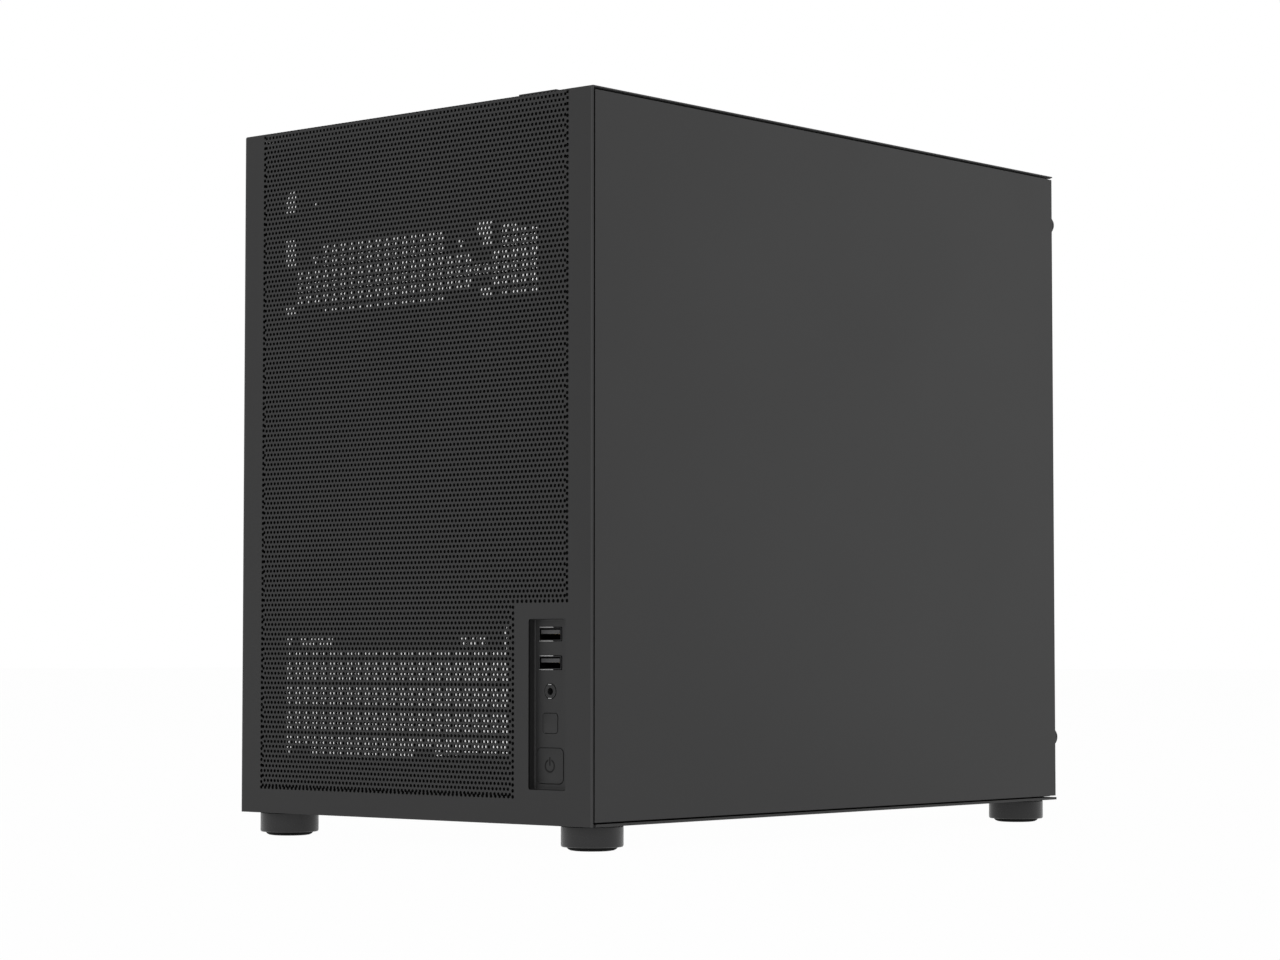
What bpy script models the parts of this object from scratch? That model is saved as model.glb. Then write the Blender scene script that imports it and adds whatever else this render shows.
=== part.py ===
"""A micro ATX PC case: a folded, perforated front and top, a steel and a glass side panel, and its chassis.

Units are metres. +Z is up, the front faces -Y, and +X is to the right seen from the front.
The origin is on the floor, in the middle of the case's own width and length.
"""

from math import cos, pi, radians, sin

import bmesh
import bpy
from mathutils import Matrix, Vector
from mathutils.geometry import delaunay_2d_cdt

# Overall size of the body, without its feet
CASE_WIDTH = 0.220
CASE_HEIGHT = 0.319
CASE_DEPTH = 0.357
FOOT_HEIGHT = 0.011

# Sheet metal
SHELL_SHEET = 0.0012
CHASSIS_SHEET = 0.0010
PANEL_SHEET = 0.0010
BEND_RADIUS = 0.0012
BEND_STEPS = 3
SEAT = 0.0003

# Places of the chassis inside the shell
CHASSIS_INSET = 0.0055
FRONT_WALL_DEPTH = 0.0120
SIDE_FLANGE = 0.0195
POST_FLANGE = 0.012

# Gaps round the side panels
PANEL_FRONT_GAP = 0.0011
PANEL_EDGE_GAP = 0.0007
PANEL_HEM = 0.003
PANEL_REAR_FLANGE = 0.016

# Perforation of the front and the top, with each opening standing for a patch of fine holes
HOLE_PITCH = 0.0274
HOLE_ROW = 0.0272
HOLE_RADIUS = 0.0090
HOLE_SIDES = 6
FIELD_LEFT = 0.0130
FIELD_RIGHT = 0.0143
FIELD_BOTTOM = 0.0113
FIELD_TOP = 0.0040
TOP_FIELD_REAR = 0.016

# Port column in the lower right corner of the front
COLUMN_WIDTH = 0.0454
COLUMN_HEIGHT = 0.0967
RECESS_WIDTH = 0.0212
RECESS_HEIGHT = 0.0735
RECESS_RIGHT = 0.0154
RECESS_BOTTOM = 0.01515
RECESS_DEPTH = 0.0049
BEZEL_WALL = 0.0014
BEZEL_FLOOR = 0.0020
BEZEL_FLANGE = 0.0030
BEZEL_LENGTH = 0.0190
PORT_SHIFT = 0.0017
BOARD_SHEET = 0.0016

# Ports and buttons, with heights from the bottom of the body
USB_WIDTH = 0.0131
USB_HEIGHT = 0.0057
USB_SHELL = 0.0004
TONGUE_WIDTH = 0.0112
TONGUE_THICKNESS = 0.0018
TONGUE_SETBACK = 0.0016
USB_HEIGHTS = (0.0825, 0.0701)
JACK_HEIGHT = 0.0577
JACK_RADIUS = 0.0032
JACK_BORE = 0.00175
RESET_HEIGHT = 0.0439
RESET_WIDTH = 0.0086
POWER_HEIGHT = 0.0255
POWER_WIDTH = 0.0154
BUTTON_GAP = 0.00035
BUTTON_CORNER = 0.16
BUTTON_PROUD = 0.0006
BUTTON_TRAVEL = 0.0009
BUTTON_LIP = 0.0007
BUTTON_LIP_DEPTH = 0.0012
STEM_RADIUS = 0.0015
SWITCH_WIDTH = 0.0060
SWITCH_DEPTH = 0.0035
SWITCH_CAP_RADIUS = 0.0017
SWITCH_CAP_DEPTH = 0.0010
PORT_PROUD = 0.0003

# Feet
FOOT_RADIUS = 0.0136
FOOT_RING_HEIGHT = 0.0017
FOOT_WALL = 0.0010
FOOT_CHAMFER = 0.0006
PAD_HEIGHT = 0.0037
PAD_CHAMFER = 0.0030
ROUND_SIDES = 24
SMALL_SIDES = 12
FOOT_SIDE_INSET = 0.0150
FOOT_FRONT_INSET = 0.0170
FOOT_REAR_INSET = 0.0146

# Thumbscrews
SCREW_HEAD_RADIUS = 0.0042
SCREW_HEAD_LENGTH = 0.0072
SCREW_SHANK_RADIUS = 0.0015
SCREW_LENGTH = 0.0060
SCREW_HOLE_RADIUS = 0.0019
SCREW_INSET = 0.0090
SCREW_FROM_BOTTOM = 0.0315
SCREW_FROM_TOP = 0.0240
SCREW_NOTCHES = 8
SCREW_NOTCH_DEPTH = 0.0004
SCREW_COLLAR = 0.0012

# Inner front wall: its vents' corners and the fans' screw slots, as shares of half the width
# and of the height. A vent also has its columns and rows, and a slot its length.
VENT_BAR = 0.0036
FAN_SLOT_WIDTH = 0.0065
FAN_SLOT_SIDES = (-0.8273, 0.3091)
FAN_SLOTS = ((0.7386, 0.0046), (0.8248, 0.0124), (0.9013, 0.0102))
UPPER_VENT = ((-0.640, 0.7304), (0.0982, 0.9280), 5, 4)
BESIDE_VENT = ((0.4127, 0.7304), (0.6164, 0.9280), 1, 4)
LOWER_VENT = ((-0.8473, 0.0837), (0.4655, 0.2379), 9, 3)

# Roof and floor
ROOF_FAN_SPACING = 0.1240
ROOF_FAN_RADIUS = 0.0570
ROOF_SLOT_LENGTH = 0.0130
ROOF_SLOT_WIDTH = 0.0044
DRIVE_SLOTS = 4
DRIVE_SLOT_PITCH = 0.0250
DRIVE_SLOT_LENGTH = 0.0900
DRIVE_SLOT_WIDTH = 0.0055

# Rear wall
IO_WIDTH = 0.0445
IO_HEIGHT = 0.1588
IO_RIGHT = 0.0350
STACK_DROP = 0.494
FAN_VENT_MARGIN = 0.01325
FAN_VENT_PITCH = 0.0190
FAN_VENT_HOLE = 0.0078
FAN_VENT_DROP = 0.0950
FAN_SCREW_SHARE = 0.921
FAN_SCREW_RADIUS = 0.0022
INLET_FROM_LEFT = 0.0320
INLET_BELOW_VENT = 0.0010
INLET_WIDTH = 0.0196
INLET_BODY_HEIGHT = 0.0272
INLET_FLANGE_WIDTH = 0.0230
INLET_FLANGE_HEIGHT = 0.0480
INLET_FLANGE = 0.0030
INLET_CORNER = 0.0040
INLET_DEPTH = 0.0180
INLET_WALL = 0.0020
INLET_PIN_SIDE = 0.0040
INLET_PIN_RISE = 0.0070
INLET_PIN_WIDTH = 0.0040
INLET_PIN_THICKNESS = 0.0020

# Expansion slots
SLOT_COUNT = 4
SLOT_PITCH = 0.0203
SLOT_LENGTH = 0.1080
SLOT_OPENING = 0.0127
SLOT_GAP_BELOW_IO = 0.0150
SLOT_PAST_PORTS = 0.0020
COVER_SHEET = 0.0008
COVER_WIDTH = 0.0184
COVER_OVERLAP = 0.0030
COVER_TAB = 0.0114
COVER_TAB_WIDTH = 0.0110
COVER_VENTS = 6
COVER_VENT_LENGTH = 0.0090
COVER_VENT_WIDTH = 0.0056
SLOT_SCREW_RADIUS = 0.0014
SLOT_SCREW_HEAD = 0.0030
SLOT_SCREW_LENGTH = 0.0050
SLOT_SCREW_RIM = 0.0016
SLOT_SCREW_CROWN = 0.0020
SLOT_SCREW_TOP = 0.85
LEDGE_SHEET = 0.0012
LEDGE_WIDTH = 0.0140

# Motherboard tray
TRAY_FROM_RIGHT = 0.0260
BOARD_ABOVE_PORTS = 0.0020
TRAY_FRONT_GAP = 0.0120
TRAY_FLANGE = 0.0100
STANDOFF_LENGTH = 0.0065
STANDOFF_RADIUS = 0.0030
STANDOFF_BORE = 0.0013
STANDOFF_ALONG = (0.0102, 0.1651, 0.2286)
STANDOFF_DROPS = (0.0150, 0.2380)
COOLER_FROM_REAR = 0.0890
COOLER_DROP = 0.0860
COOLER_WIDTH = 0.1300
COOLER_HEIGHT = 0.1050
CABLE_DROPS = (0.0400, 0.1200, 0.2000)
CABLE_HOLE_WIDTH = 0.0220
CABLE_HOLE_LENGTH = 0.0560
TRAY_CORNER = 0.0050
BOARD_HEIGHT = 0.2440

# Power supply bracket and drive bracket
SUPPLY_GAP = 0.0030
SUPPLY_DEPTH = 0.0900
SUPPLY_HEIGHT = 0.1440
SUPPLY_BOTTOM = 0.0895
SUPPLY_FLANGE = 0.0140
SUPPLY_WINDOW_DEPTH = 0.0500
SUPPLY_WINDOW_HEIGHT = 0.1160
SUPPLY_WINDOW_CORNER = 0.0060
SUPPLY_SCREW_DEPTH = 0.0640
SUPPLY_SCREW_HEIGHT = 0.1380
DRIVE_WIDTH = 0.0760
DRIVE_LENGTH = 0.1080
DRIVE_RISE = 0.0090
DRIVE_FLANGE = 0.0090
DRIVE_FROM_REAR = 0.1200
DRIVE_BOTTOM = 0.0100
DRIVE_SIDE_MARGIN = 0.0140
DRIVE_END_MARGIN = 0.0170
DRIVE_CORNER = 0.0050

# Glass panel
GLASS_THICKNESS = 0.0035
GLASS_FRAME_WIDTH = 0.0200
GLASS_CORNER = 0.0020
GLASS_GROUND_EDGE = 0.0005
WINDOW_CORNER = 0.0060

# Top dust filter
FILTER_SHEET = 0.0006
FILTER_MARGIN = 0.0140
FILTER_FRONT = 0.0160
FILTER_TAB_WIDTH = 0.0220
FILTER_TAB_FROM_RIGHT = 0.0235
FILTER_PITCH = 0.0400
FILTER_HOLE = 0.0190

# Planes worked out from the sizes above
HALF = CASE_WIDTH / 2
REAR_REACH = COVER_TAB - PANEL_SHEET - SEAT
FRONT_Y = -(CASE_DEPTH + REAR_REACH) / 2
REAR_Y = FRONT_Y + CASE_DEPTH
BODY_Z = FOOT_HEIGHT
TOP_Z = BODY_Z + CASE_HEIGHT
CHASSIS_X = HALF - CHASSIS_INSET
WALL_Y = FRONT_Y + FRONT_WALL_DEPTH
REAR_WALL_Y = REAR_Y - PANEL_SHEET - SEAT
FLOOR_Z = BODY_Z + SHELL_SHEET + SEAT + CHASSIS_SHEET
ROOF_Z = TOP_Z - SHELL_SHEET - SEAT - CHASSIS_SHEET
PANEL_FRONT_Y = FRONT_Y + SHELL_SHEET + PANEL_FRONT_GAP
PANEL_LOW_Z = BODY_Z + SHELL_SHEET + PANEL_EDGE_GAP
PANEL_HIGH_Z = TOP_Z - SHELL_SHEET - PANEL_EDGE_GAP
RECESS_X = HALF - RECESS_RIGHT - RECESS_WIDTH / 2
RECESS_Z = BODY_Z + RECESS_BOTTOM + RECESS_HEIGHT / 2
PORT_X = RECESS_X - PORT_SHIFT
RECESS_Y = FRONT_Y + RECESS_DEPTH
BEZEL_BACK_Y = FRONT_Y + BEZEL_LENGTH
SCREW_X = HALF - SCREW_INSET
SCREW_HEIGHTS = (SCREW_FROM_BOTTOM, CASE_HEIGHT - SCREW_FROM_TOP)
STACK = IO_HEIGHT + SLOT_GAP_BELOW_IO + (SLOT_COUNT - 1) * SLOT_PITCH + SLOT_OPENING / 2
IO_TOP_Z = TOP_Z - STACK_DROP * (CASE_HEIGHT - STACK)
FAN_VENT_RADIUS = (CASE_WIDTH - IO_RIGHT - IO_WIDTH) / 2 - FAN_VENT_MARGIN
FAN_VENT_X = -HALF + FAN_VENT_RADIUS + FAN_VENT_MARGIN
FAN_SCREW_SPACING = 2 * FAN_SCREW_SHARE * FAN_VENT_RADIUS
INLET_X = -HALF + INLET_FROM_LEFT
INLET_Z = TOP_Z - FAN_VENT_DROP - FAN_VENT_RADIUS - INLET_BELOW_VENT - INLET_FLANGE_HEIGHT / 2
TRAY_X = HALF - TRAY_FROM_RIGHT
SUPPLY_X = RECESS_X - RECESS_WIDTH / 2 - BEZEL_WALL - SUPPLY_GAP
BOARD_TOP_Z = IO_TOP_Z + BOARD_ABOVE_PORTS
TRAY_REAR_Y = REAR_WALL_Y - CHASSIS_SHEET - SEAT
SLOT_MIDDLE_X = HALF - IO_RIGHT - SLOT_LENGTH / 2 + SLOT_PAST_PORTS
SLOT_LEFT_X = SLOT_MIDDLE_X - SLOT_LENGTH / 2
SWITCH_FRONT_Y = BEZEL_BACK_Y - SWITCH_DEPTH - SWITCH_CAP_DEPTH


def clear_scene():
    for old in list(bpy.data.objects):
        bpy.data.objects.remove(old, do_unlink=True)


def material(name, colour, roughness, metallic=0.0, transmission=0.0):
    made = bpy.data.materials.new(name)
    made.use_nodes = True
    shader = made.node_tree.nodes["Principled BSDF"]
    shader.inputs["Base Color"].default_value = (*colour, 1.0)
    shader.inputs["Roughness"].default_value = roughness
    shader.inputs["Metallic"].default_value = metallic
    shader.inputs["Transmission Weight"].default_value = transmission
    return made


def finish(bm, name, look, smooth_angle=30):
    """Turns a bmesh into a named object with one material, shaded smooth where it is round."""
    bmesh.ops.recalc_face_normals(bm, faces=bm.faces[:])
    mesh = bpy.data.meshes.new(name)
    bm.to_mesh(mesh)
    bm.free()
    mesh.materials.append(look)
    mesh.shade_smooth()
    mesh.set_sharp_from_angle(angle=radians(smooth_angle))
    made = bpy.data.objects.new(name, mesh)
    bpy.context.scene.collection.objects.link(made)
    return made


# Plane outlines

def rectangle(low, high):
    return [low, (high[0], low[1]), high, (low[0], high[1])]


def circle(centre, radius, sides):
    turns = [2 * pi * (k + 0.5) / sides for k in range(sides)]
    return [(centre[0] + radius * cos(a), centre[1] + radius * sin(a)) for a in turns]


def rounded(low, high, radius, steps=3):
    """A rectangle with round corners, anticlockwise."""
    centres = (
        (high[0] - radius, high[1] - radius, 0),
        (low[0] + radius, high[1] - radius, 90),
        (low[0] + radius, low[1] + radius, 180),
        (high[0] - radius, low[1] + radius, 270),
    )
    points = []
    for x, y, start in centres:
        for k in range(steps + 1):
            angle = radians(start + 90 * k / steps)
            points.append((x + radius * cos(angle), y + radius * sin(angle)))
    return points


def around(centre, width, height):
    """The low and high corners of a rectangle about its centre."""
    x, y = centre
    return (x - width / 2, y - height / 2), (x + width / 2, y + height / 2)


def lattice(low, high, pitch, row, margin):
    """Staggered hole centres whose holes stay inside a rectangle by the margin."""
    columns = int((high[0] - low[0] - 2 * margin - pitch / 2) / pitch) + 1
    rows = int((high[1] - low[1] - 2 * margin) / row) + 1
    left = (low[0] + high[0] - (columns - 0.5) * pitch) / 2
    bottom = (low[1] + high[1] - (rows - 1) * row) / 2
    for j in range(rows):
        for i in range(columns):
            yield left + (i + (j % 2) / 2) * pitch, bottom + j * row


# Sheet metal: a flat blank with holes, folded along one direction

class Profile:
    """The cross-section of a folded sheet, read by the length of the flat blank."""

    def __init__(self, start, heading):
        self.runs = []
        self.point = Vector(start)
        self.heading = radians(heading)
        self.length = 0.0

    def straight(self, length):
        self.runs.append((self.length, length, self.point.copy(), self.heading, 0.0))
        self.point = self.point + length * Vector((cos(self.heading), sin(self.heading)))
        self.length += length
        return self

    def bend(self, degrees, radius):
        """Turns left for a positive angle; the radius is that of the reference face."""
        length = abs(radians(degrees)) * radius
        turn = radians(degrees) / length
        self.runs.append((self.length, length, self.point.copy(), self.heading, turn))
        self.point, self.heading = self.at(self.length + length)
        self.length += length
        return self

    def at(self, s):
        """The point and the heading of the reference face at a length along the blank."""
        start, length, point, heading, turn = self.runs[-1]
        for run in self.runs:
            if s <= run[0] + run[1] + 1e-9:
                start, length, point, heading, turn = run
                break
        gone = s - start
        if not turn:
            return point + gone * Vector((cos(heading), sin(heading))), heading
        ahead = heading + turn * gone
        offset = Vector((sin(ahead) - sin(heading), cos(heading) - cos(ahead))) / turn
        return point + offset, ahead

    def creases(self):
        """The blank lengths where the sheet needs a line of points to bend."""
        found = []
        for start, length, _, _, turn in self.runs:
            if turn:
                found += [start + length * k / BEND_STEPS for k in range(BEND_STEPS + 1)]
        return found


def flat_faces(outline, holes, creases, width):
    """Triangles of a plane outline with holes, with lines of points along the creases."""
    points = [Vector(p) for p in outline]
    faces = [list(range(len(points)))]
    for hole in holes:
        faces.append(list(range(len(points), len(points) + len(hole))))
        points += [Vector(p) for p in hole]
    edges = []
    for s in creases:
        edges.append((len(points), len(points) + 1))
        points += [Vector((s, width[0])), Vector((s, width[1]))]
    found = delaunay_2d_cdt(points, edges, faces, 1, 1e-7, True)
    kept = [f for f, origin in zip(found[2], found[5]) if 0 in origin and len(origin) == 1]
    return found[0], kept


def sheet(name, look, profile, place, thickness, outline, holes=()):
    """A folded sheet. place(a, b, w) puts profile coordinates and a width in the world."""
    widths = [p[1] for p in outline]
    span = (min(widths), max(widths))
    points, faces = flat_faces(outline, holes, profile.creases(), span)
    bm = bmesh.new()
    near, far = [], []
    for s, w in points:
        at, heading = profile.at(s)
        inward = Vector((-sin(heading), cos(heading))) * thickness
        near.append(bm.verts.new(place(at.x, at.y, w)))
        far.append(bm.verts.new(place(at.x + inward.x, at.y + inward.y, w)))
    rim = {}
    for face in faces:
        bm.faces.new([near[i] for i in face])
        bm.faces.new([far[i] for i in reversed(face)])
        for a, b in zip(face, face[1:] + face[:1]):
            if rim.pop((b, a), None) is None:
                rim[(a, b)] = True
    for a, b in rim:
        bm.faces.new((near[b], near[a], far[a], far[b]))
    loose = [v for v in bm.verts if not v.link_faces]
    bmesh.ops.delete(bm, geom=loose, context="VERTS")
    return finish(bm, name, look)


def in_yz(a, b, w):
    """Profile across Y and Z, with the width along X."""
    return Vector((w, a, b))


def in_xz(a, b, w):
    """Profile across X and Z, with the width along Y."""
    return Vector((a, w, b))


def in_xy(a, b, w):
    """Profile across X and Y, with the width along Z."""
    return Vector((a, b, w))


def block(name, look, low, high, bevel=0.0):
    """A plain block between two corners, with its edges eased."""
    bm = bmesh.new()
    bmesh.ops.create_cube(bm, size=1.0)
    size = Vector(high) - Vector(low)
    middle = (Vector(high) + Vector(low)) / 2
    bmesh.ops.transform(bm, matrix=Matrix.Translation(middle) @ Matrix.Diagonal((*size, 1)), verts=bm.verts)
    if bevel:
        bmesh.ops.bevel(bm, geom=bm.edges[:], offset=bevel, segments=1, affect="EDGES")
    return finish(bm, name, look)


def turned(name, look, profile, centre, axis, sides):
    """A solid of revolution. The profile's points are (radius, height) from its lower to its upper pole."""
    bm = bmesh.new()
    rings = []
    for radius, height in profile:
        if radius == 0.0:
            rings.append([bm.verts.new((0.0, 0.0, height))])
            continue
        ring = circle((0.0, 0.0), radius, sides)
        rings.append([bm.verts.new((x, y, height)) for x, y in ring])
    for lower, upper in zip(rings, rings[1:]):
        for k in range(sides):
            n = (k + 1) % sides
            low_pair = [lower[k % len(lower)], lower[n % len(lower)]]
            corners = low_pair + [upper[n % len(upper)], upper[k % len(upper)]]
            bm.faces.new(list(dict.fromkeys(corners)))
    turn = Vector((0, 0, 1)).rotation_difference(Vector(axis)).to_matrix().to_4x4()
    bmesh.ops.transform(bm, matrix=turn, verts=bm.verts)
    made = finish(bm, name, look)
    made.location = centre
    return made


def prism(bm, outline, depth, place):
    """Adds a straight prism of an outline between two depths to a bmesh."""
    low = [bm.verts.new(place(x, y, depth[0])) for x, y in outline]
    high = [bm.verts.new(place(x, y, depth[1])) for x, y in outline]
    bm.faces.new(low)
    bm.faces.new(high)
    for k in range(len(outline)):
        n = (k + 1) % len(outline)
        bm.faces.new((low[k], low[n], high[n], high[k]))


def cutter(name, outline, depth, place):
    bm = bmesh.new()
    prism(bm, outline, depth, place)
    bmesh.ops.recalc_face_normals(bm, faces=bm.faces[:])
    mesh = bpy.data.meshes.new(name)
    bm.to_mesh(mesh)
    bm.free()
    made = bpy.data.objects.new(name, mesh)
    bpy.context.scene.collection.objects.link(made)
    made.hide_render = True
    made.display_type = "WIRE"
    return made


def apply_boolean(target, other, operation):
    modifier = target.modifiers.new(operation.title() + " " + other.name, "BOOLEAN")
    modifier.operation = operation
    modifier.object = other


def front_place(x, z, y):
    return Vector((x, y, z))


# Outer shell

def front_top_shell(look):
    """The front and the top are one perforated sheet, bent over the front edge."""
    bend = BEND_RADIUS + SHELL_SHEET
    profile = Profile((FRONT_Y, BODY_Z), 90)
    profile.straight(CASE_HEIGHT - bend).bend(-90, bend).straight(CASE_DEPTH - bend)
    turn = profile.runs[2][0]
    recess = (RECESS_Z - BODY_Z, RECESS_X)
    holes = [rectangle(*around(recess, RECESS_HEIGHT, RECESS_WIDTH))]
    left, right = -HALF + FIELD_LEFT, HALF - FIELD_RIGHT
    pattern = (HOLE_PITCH, HOLE_ROW, HOLE_RADIUS)
    for x, s in lattice((left, FIELD_BOTTOM), (right, CASE_HEIGHT - FIELD_TOP), *pattern):
        below = s - HOLE_RADIUS < COLUMN_HEIGHT
        if not (below and x + HOLE_RADIUS > HALF - COLUMN_WIDTH):
            holes.append(circle((s, x), HOLE_RADIUS, HOLE_SIDES))
    rear = profile.length - TOP_FIELD_REAR
    for x, s in lattice((left, turn + FIELD_TOP), (right, rear), *pattern):
        holes.append(circle((s, x), HOLE_RADIUS, HOLE_SIDES))
    outline = rectangle((0.0, -HALF), (profile.length, HALF))
    return sheet("front_top_shell", look, profile, in_yz, -SHELL_SHEET, outline, holes)


def bottom_plate(look):
    profile = Profile((-HALF, BODY_Z), 0).straight(CASE_WIDTH)
    holes = []
    for x in (FOOT_SIDE_INSET, CASE_WIDTH - FOOT_SIDE_INSET):
        for y in (FRONT_Y + FOOT_FRONT_INSET, REAR_Y - FOOT_REAR_INSET):
            holes.append(circle((x, y), SCREW_HOLE_RADIUS, SMALL_SIDES))
    outline = rectangle((0.0, PANEL_FRONT_Y), (CASE_WIDTH, REAR_Y))
    return sheet("bottom_plate", look, profile, in_xz, SHELL_SHEET, outline, holes)


def screw_holes(profile):
    """The thumbscrews' holes in a panel's rear flange, which ends where the blank ends."""
    for height in SCREW_HEIGHTS:
        centre = (profile.length - (PANEL_REAR_FLANGE - SCREW_INSET), BODY_Z + height)
        yield circle(centre, SCREW_HOLE_RADIUS, SMALL_SIDES)


def right_panel(look):
    """The solid steel side, with a folded front edge and a rear flange for the thumbscrews."""
    bend = BEND_RADIUS + PANEL_SHEET
    profile = Profile((HALF - PANEL_HEM - bend, PANEL_FRONT_Y), 0)
    profile.straight(PANEL_HEM).bend(90, bend)
    profile.straight(REAR_Y - PANEL_FRONT_Y - 2 * bend).bend(90, bend)
    profile.straight(PANEL_REAR_FLANGE - bend)
    outline = rectangle((0.0, PANEL_LOW_Z), (profile.length, PANEL_HIGH_Z))
    return sheet("right_panel", look, profile, in_xy, PANEL_SHEET, outline, screw_holes(profile))


def left_glass(look):
    """The glass pane of the left panel, with ground edges."""
    bm = bmesh.new()
    pane = rounded((PANEL_FRONT_Y, PANEL_LOW_Z), (REAR_Y, PANEL_HIGH_Z), GLASS_CORNER)
    prism(bm, pane, (-HALF, -HALF + GLASS_THICKNESS), lambda y, z, x: Vector((x, y, z)))
    rims = [e for e in bm.edges if abs(e.verts[0].co.x - e.verts[1].co.x) < SEAT]
    bmesh.ops.bevel(bm, geom=rims, offset=GLASS_GROUND_EDGE, segments=1, affect="EDGES")
    return finish(bm, "left_glass", look)


def left_panel_frame(look):
    """The steel frame that the pane is bonded on, with its rear flange for the thumbscrews."""
    face = -HALF + GLASS_THICKNESS + SEAT
    bend = BEND_RADIUS + PANEL_SHEET
    profile = Profile((face, PANEL_FRONT_Y), 90)
    profile.straight(REAR_Y - PANEL_FRONT_Y - bend).bend(-90, bend)
    profile.straight(PANEL_REAR_FLANGE - GLASS_THICKNESS - SEAT - bend)
    low = (GLASS_FRAME_WIDTH, PANEL_LOW_Z + GLASS_FRAME_WIDTH)
    high = (REAR_Y - PANEL_FRONT_Y - GLASS_FRAME_WIDTH, PANEL_HIGH_Z - GLASS_FRAME_WIDTH)
    holes = [rounded(low, high, WINDOW_CORNER), *screw_holes(profile)]
    outline = rectangle((0.0, PANEL_LOW_Z), (profile.length, PANEL_HIGH_Z))
    return sheet("left_panel_frame", look, profile, in_xy, -PANEL_SHEET, outline, holes)


def top_dust_filter(look):
    """A thin perforated magnetic sheet that lies on the top, with a pull tab at the front."""
    profile = Profile((-HALF, TOP_Z + SEAT), 0).straight(CASE_WIDTH)
    left, right = FILTER_MARGIN, CASE_WIDTH - FILTER_MARGIN
    front, back = FRONT_Y + FILTER_FRONT, REAR_Y - FILTER_FRONT
    tab_right = CASE_WIDTH - FILTER_TAB_FROM_RIGHT
    tab_left = tab_right - FILTER_TAB_WIDTH
    tab_front = FRONT_Y + BEND_RADIUS
    outline = [
        (left, front),
        (tab_left, front),
        (tab_left, tab_front),
        (tab_right, tab_front),
        (tab_right, front),
        (right, front),
        (right, back),
        (left, back),
    ]
    holes = []
    for x, y in lattice((left, front), (right, back), FILTER_PITCH, FILTER_PITCH, FILTER_PITCH / 2):
        holes.append(circle((x, y), FILTER_HOLE, 4))
    return sheet("top_dust_filter", look, profile, in_xz, FILTER_SHEET, outline, holes)


# Chassis

def channel(start, heading):
    """A pan's section: a flange, the flat and the other flange, with its sheet inside the turns."""
    bend = BEND_RADIUS + CHASSIS_SHEET
    profile = Profile(start, heading)
    profile.straight(SIDE_FLANGE - bend).bend(90, bend)
    profile.straight(2 * CHASSIS_X - 2 * bend).bend(90, bend)
    return profile.straight(SIDE_FLANGE - bend)


def chassis_base(look):
    """The floor pan, a channel with its flanges turned up at both sides and slots for a drive."""
    bottom = FLOOR_Z - CHASSIS_SHEET
    profile = channel((-CHASSIS_X, bottom + SIDE_FLANGE), -90)
    holes = []
    for k in range(DRIVE_SLOTS):
        y = REAR_WALL_Y - DRIVE_FROM_REAR + k * DRIVE_SLOT_PITCH
        spot = (profile.length / 2, y)
        holes.append(rectangle(*around(spot, DRIVE_SLOT_LENGTH, DRIVE_SLOT_WIDTH)))
    outline = rectangle((0.0, WALL_Y), (profile.length, REAR_WALL_Y))
    return sheet("chassis_base", look, profile, in_xz, CHASSIS_SHEET, outline, holes)


def chassis_top(look):
    """The roof pan, a channel with its flanges turned down, two fan openings and their screw slots."""
    profile = channel((CHASSIS_X, ROOF_Z + CHASSIS_SHEET - SIDE_FLANGE), 90)
    across = profile.length / 2
    middle = (WALL_Y + REAR_WALL_Y) / 2
    reach = FAN_SCREW_SHARE * ROOF_FAN_RADIUS
    holes = []
    for side in (-1, 1):
        y = middle + side * ROOF_FAN_SPACING / 2
        holes.append(circle((across, y), ROOF_FAN_RADIUS, 2 * SMALL_SIDES))
        for dx in (-1, 1):
            for dy in (-1, 1):
                spot = (across + dx * reach, y + dy * reach)
                holes.append(rectangle(*around(spot, ROOF_SLOT_LENGTH, ROOF_SLOT_WIDTH)))
    outline = rectangle((0.0, WALL_Y), (profile.length, REAR_WALL_Y))
    return sheet("chassis_top", look, profile, in_xz, CHASSIS_SHEET, outline, holes)


def end_wall(start, heading):
    """An end wall's section: a post flange, the wall and the other post flange. Also gives
    the blank length at which the flat starts."""
    bend = BEND_RADIUS + CHASSIS_SHEET
    profile = Profile(start, heading)
    profile.straight(POST_FLANGE - bend).bend(90, bend)
    flat = profile.length
    profile.straight(2 * CHASSIS_X - 2 * bend).bend(90, bend)
    profile.straight(POST_FLANGE - bend)
    return profile, flat


def end_wall_blank(profile, flat):
    """The wall's blank, with its post flanges cut short of the flanges of the two pans."""
    low, high = FLOOR_Z + SEAT, ROOF_Z - SEAT
    short_low, short_high = low + SIDE_FLANGE, high - SIDE_FLANGE
    near, far = flat, profile.length - flat
    return [
        (0.0, short_low),
        (near, short_low),
        (near, low),
        (far, low),
        (far, short_low),
        (profile.length, short_low),
        (profile.length, short_high),
        (far, short_high),
        (far, high),
        (near, high),
        (near, short_high),
        (0.0, short_high),
    ]


def vent_grid(low, high, columns, rows):
    """A rectangle's openings, in even columns and rows with a bar between each two."""
    pitch = (high[0] - low[0]) / columns, (high[1] - low[1]) / rows
    for i in range(columns):
        for j in range(rows):
            centre = (low[0] + (i + 0.5) * pitch[0], low[1] + (j + 0.5) * pitch[1])
            yield around(centre, pitch[0] - VENT_BAR, pitch[1] - VENT_BAR)


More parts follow.
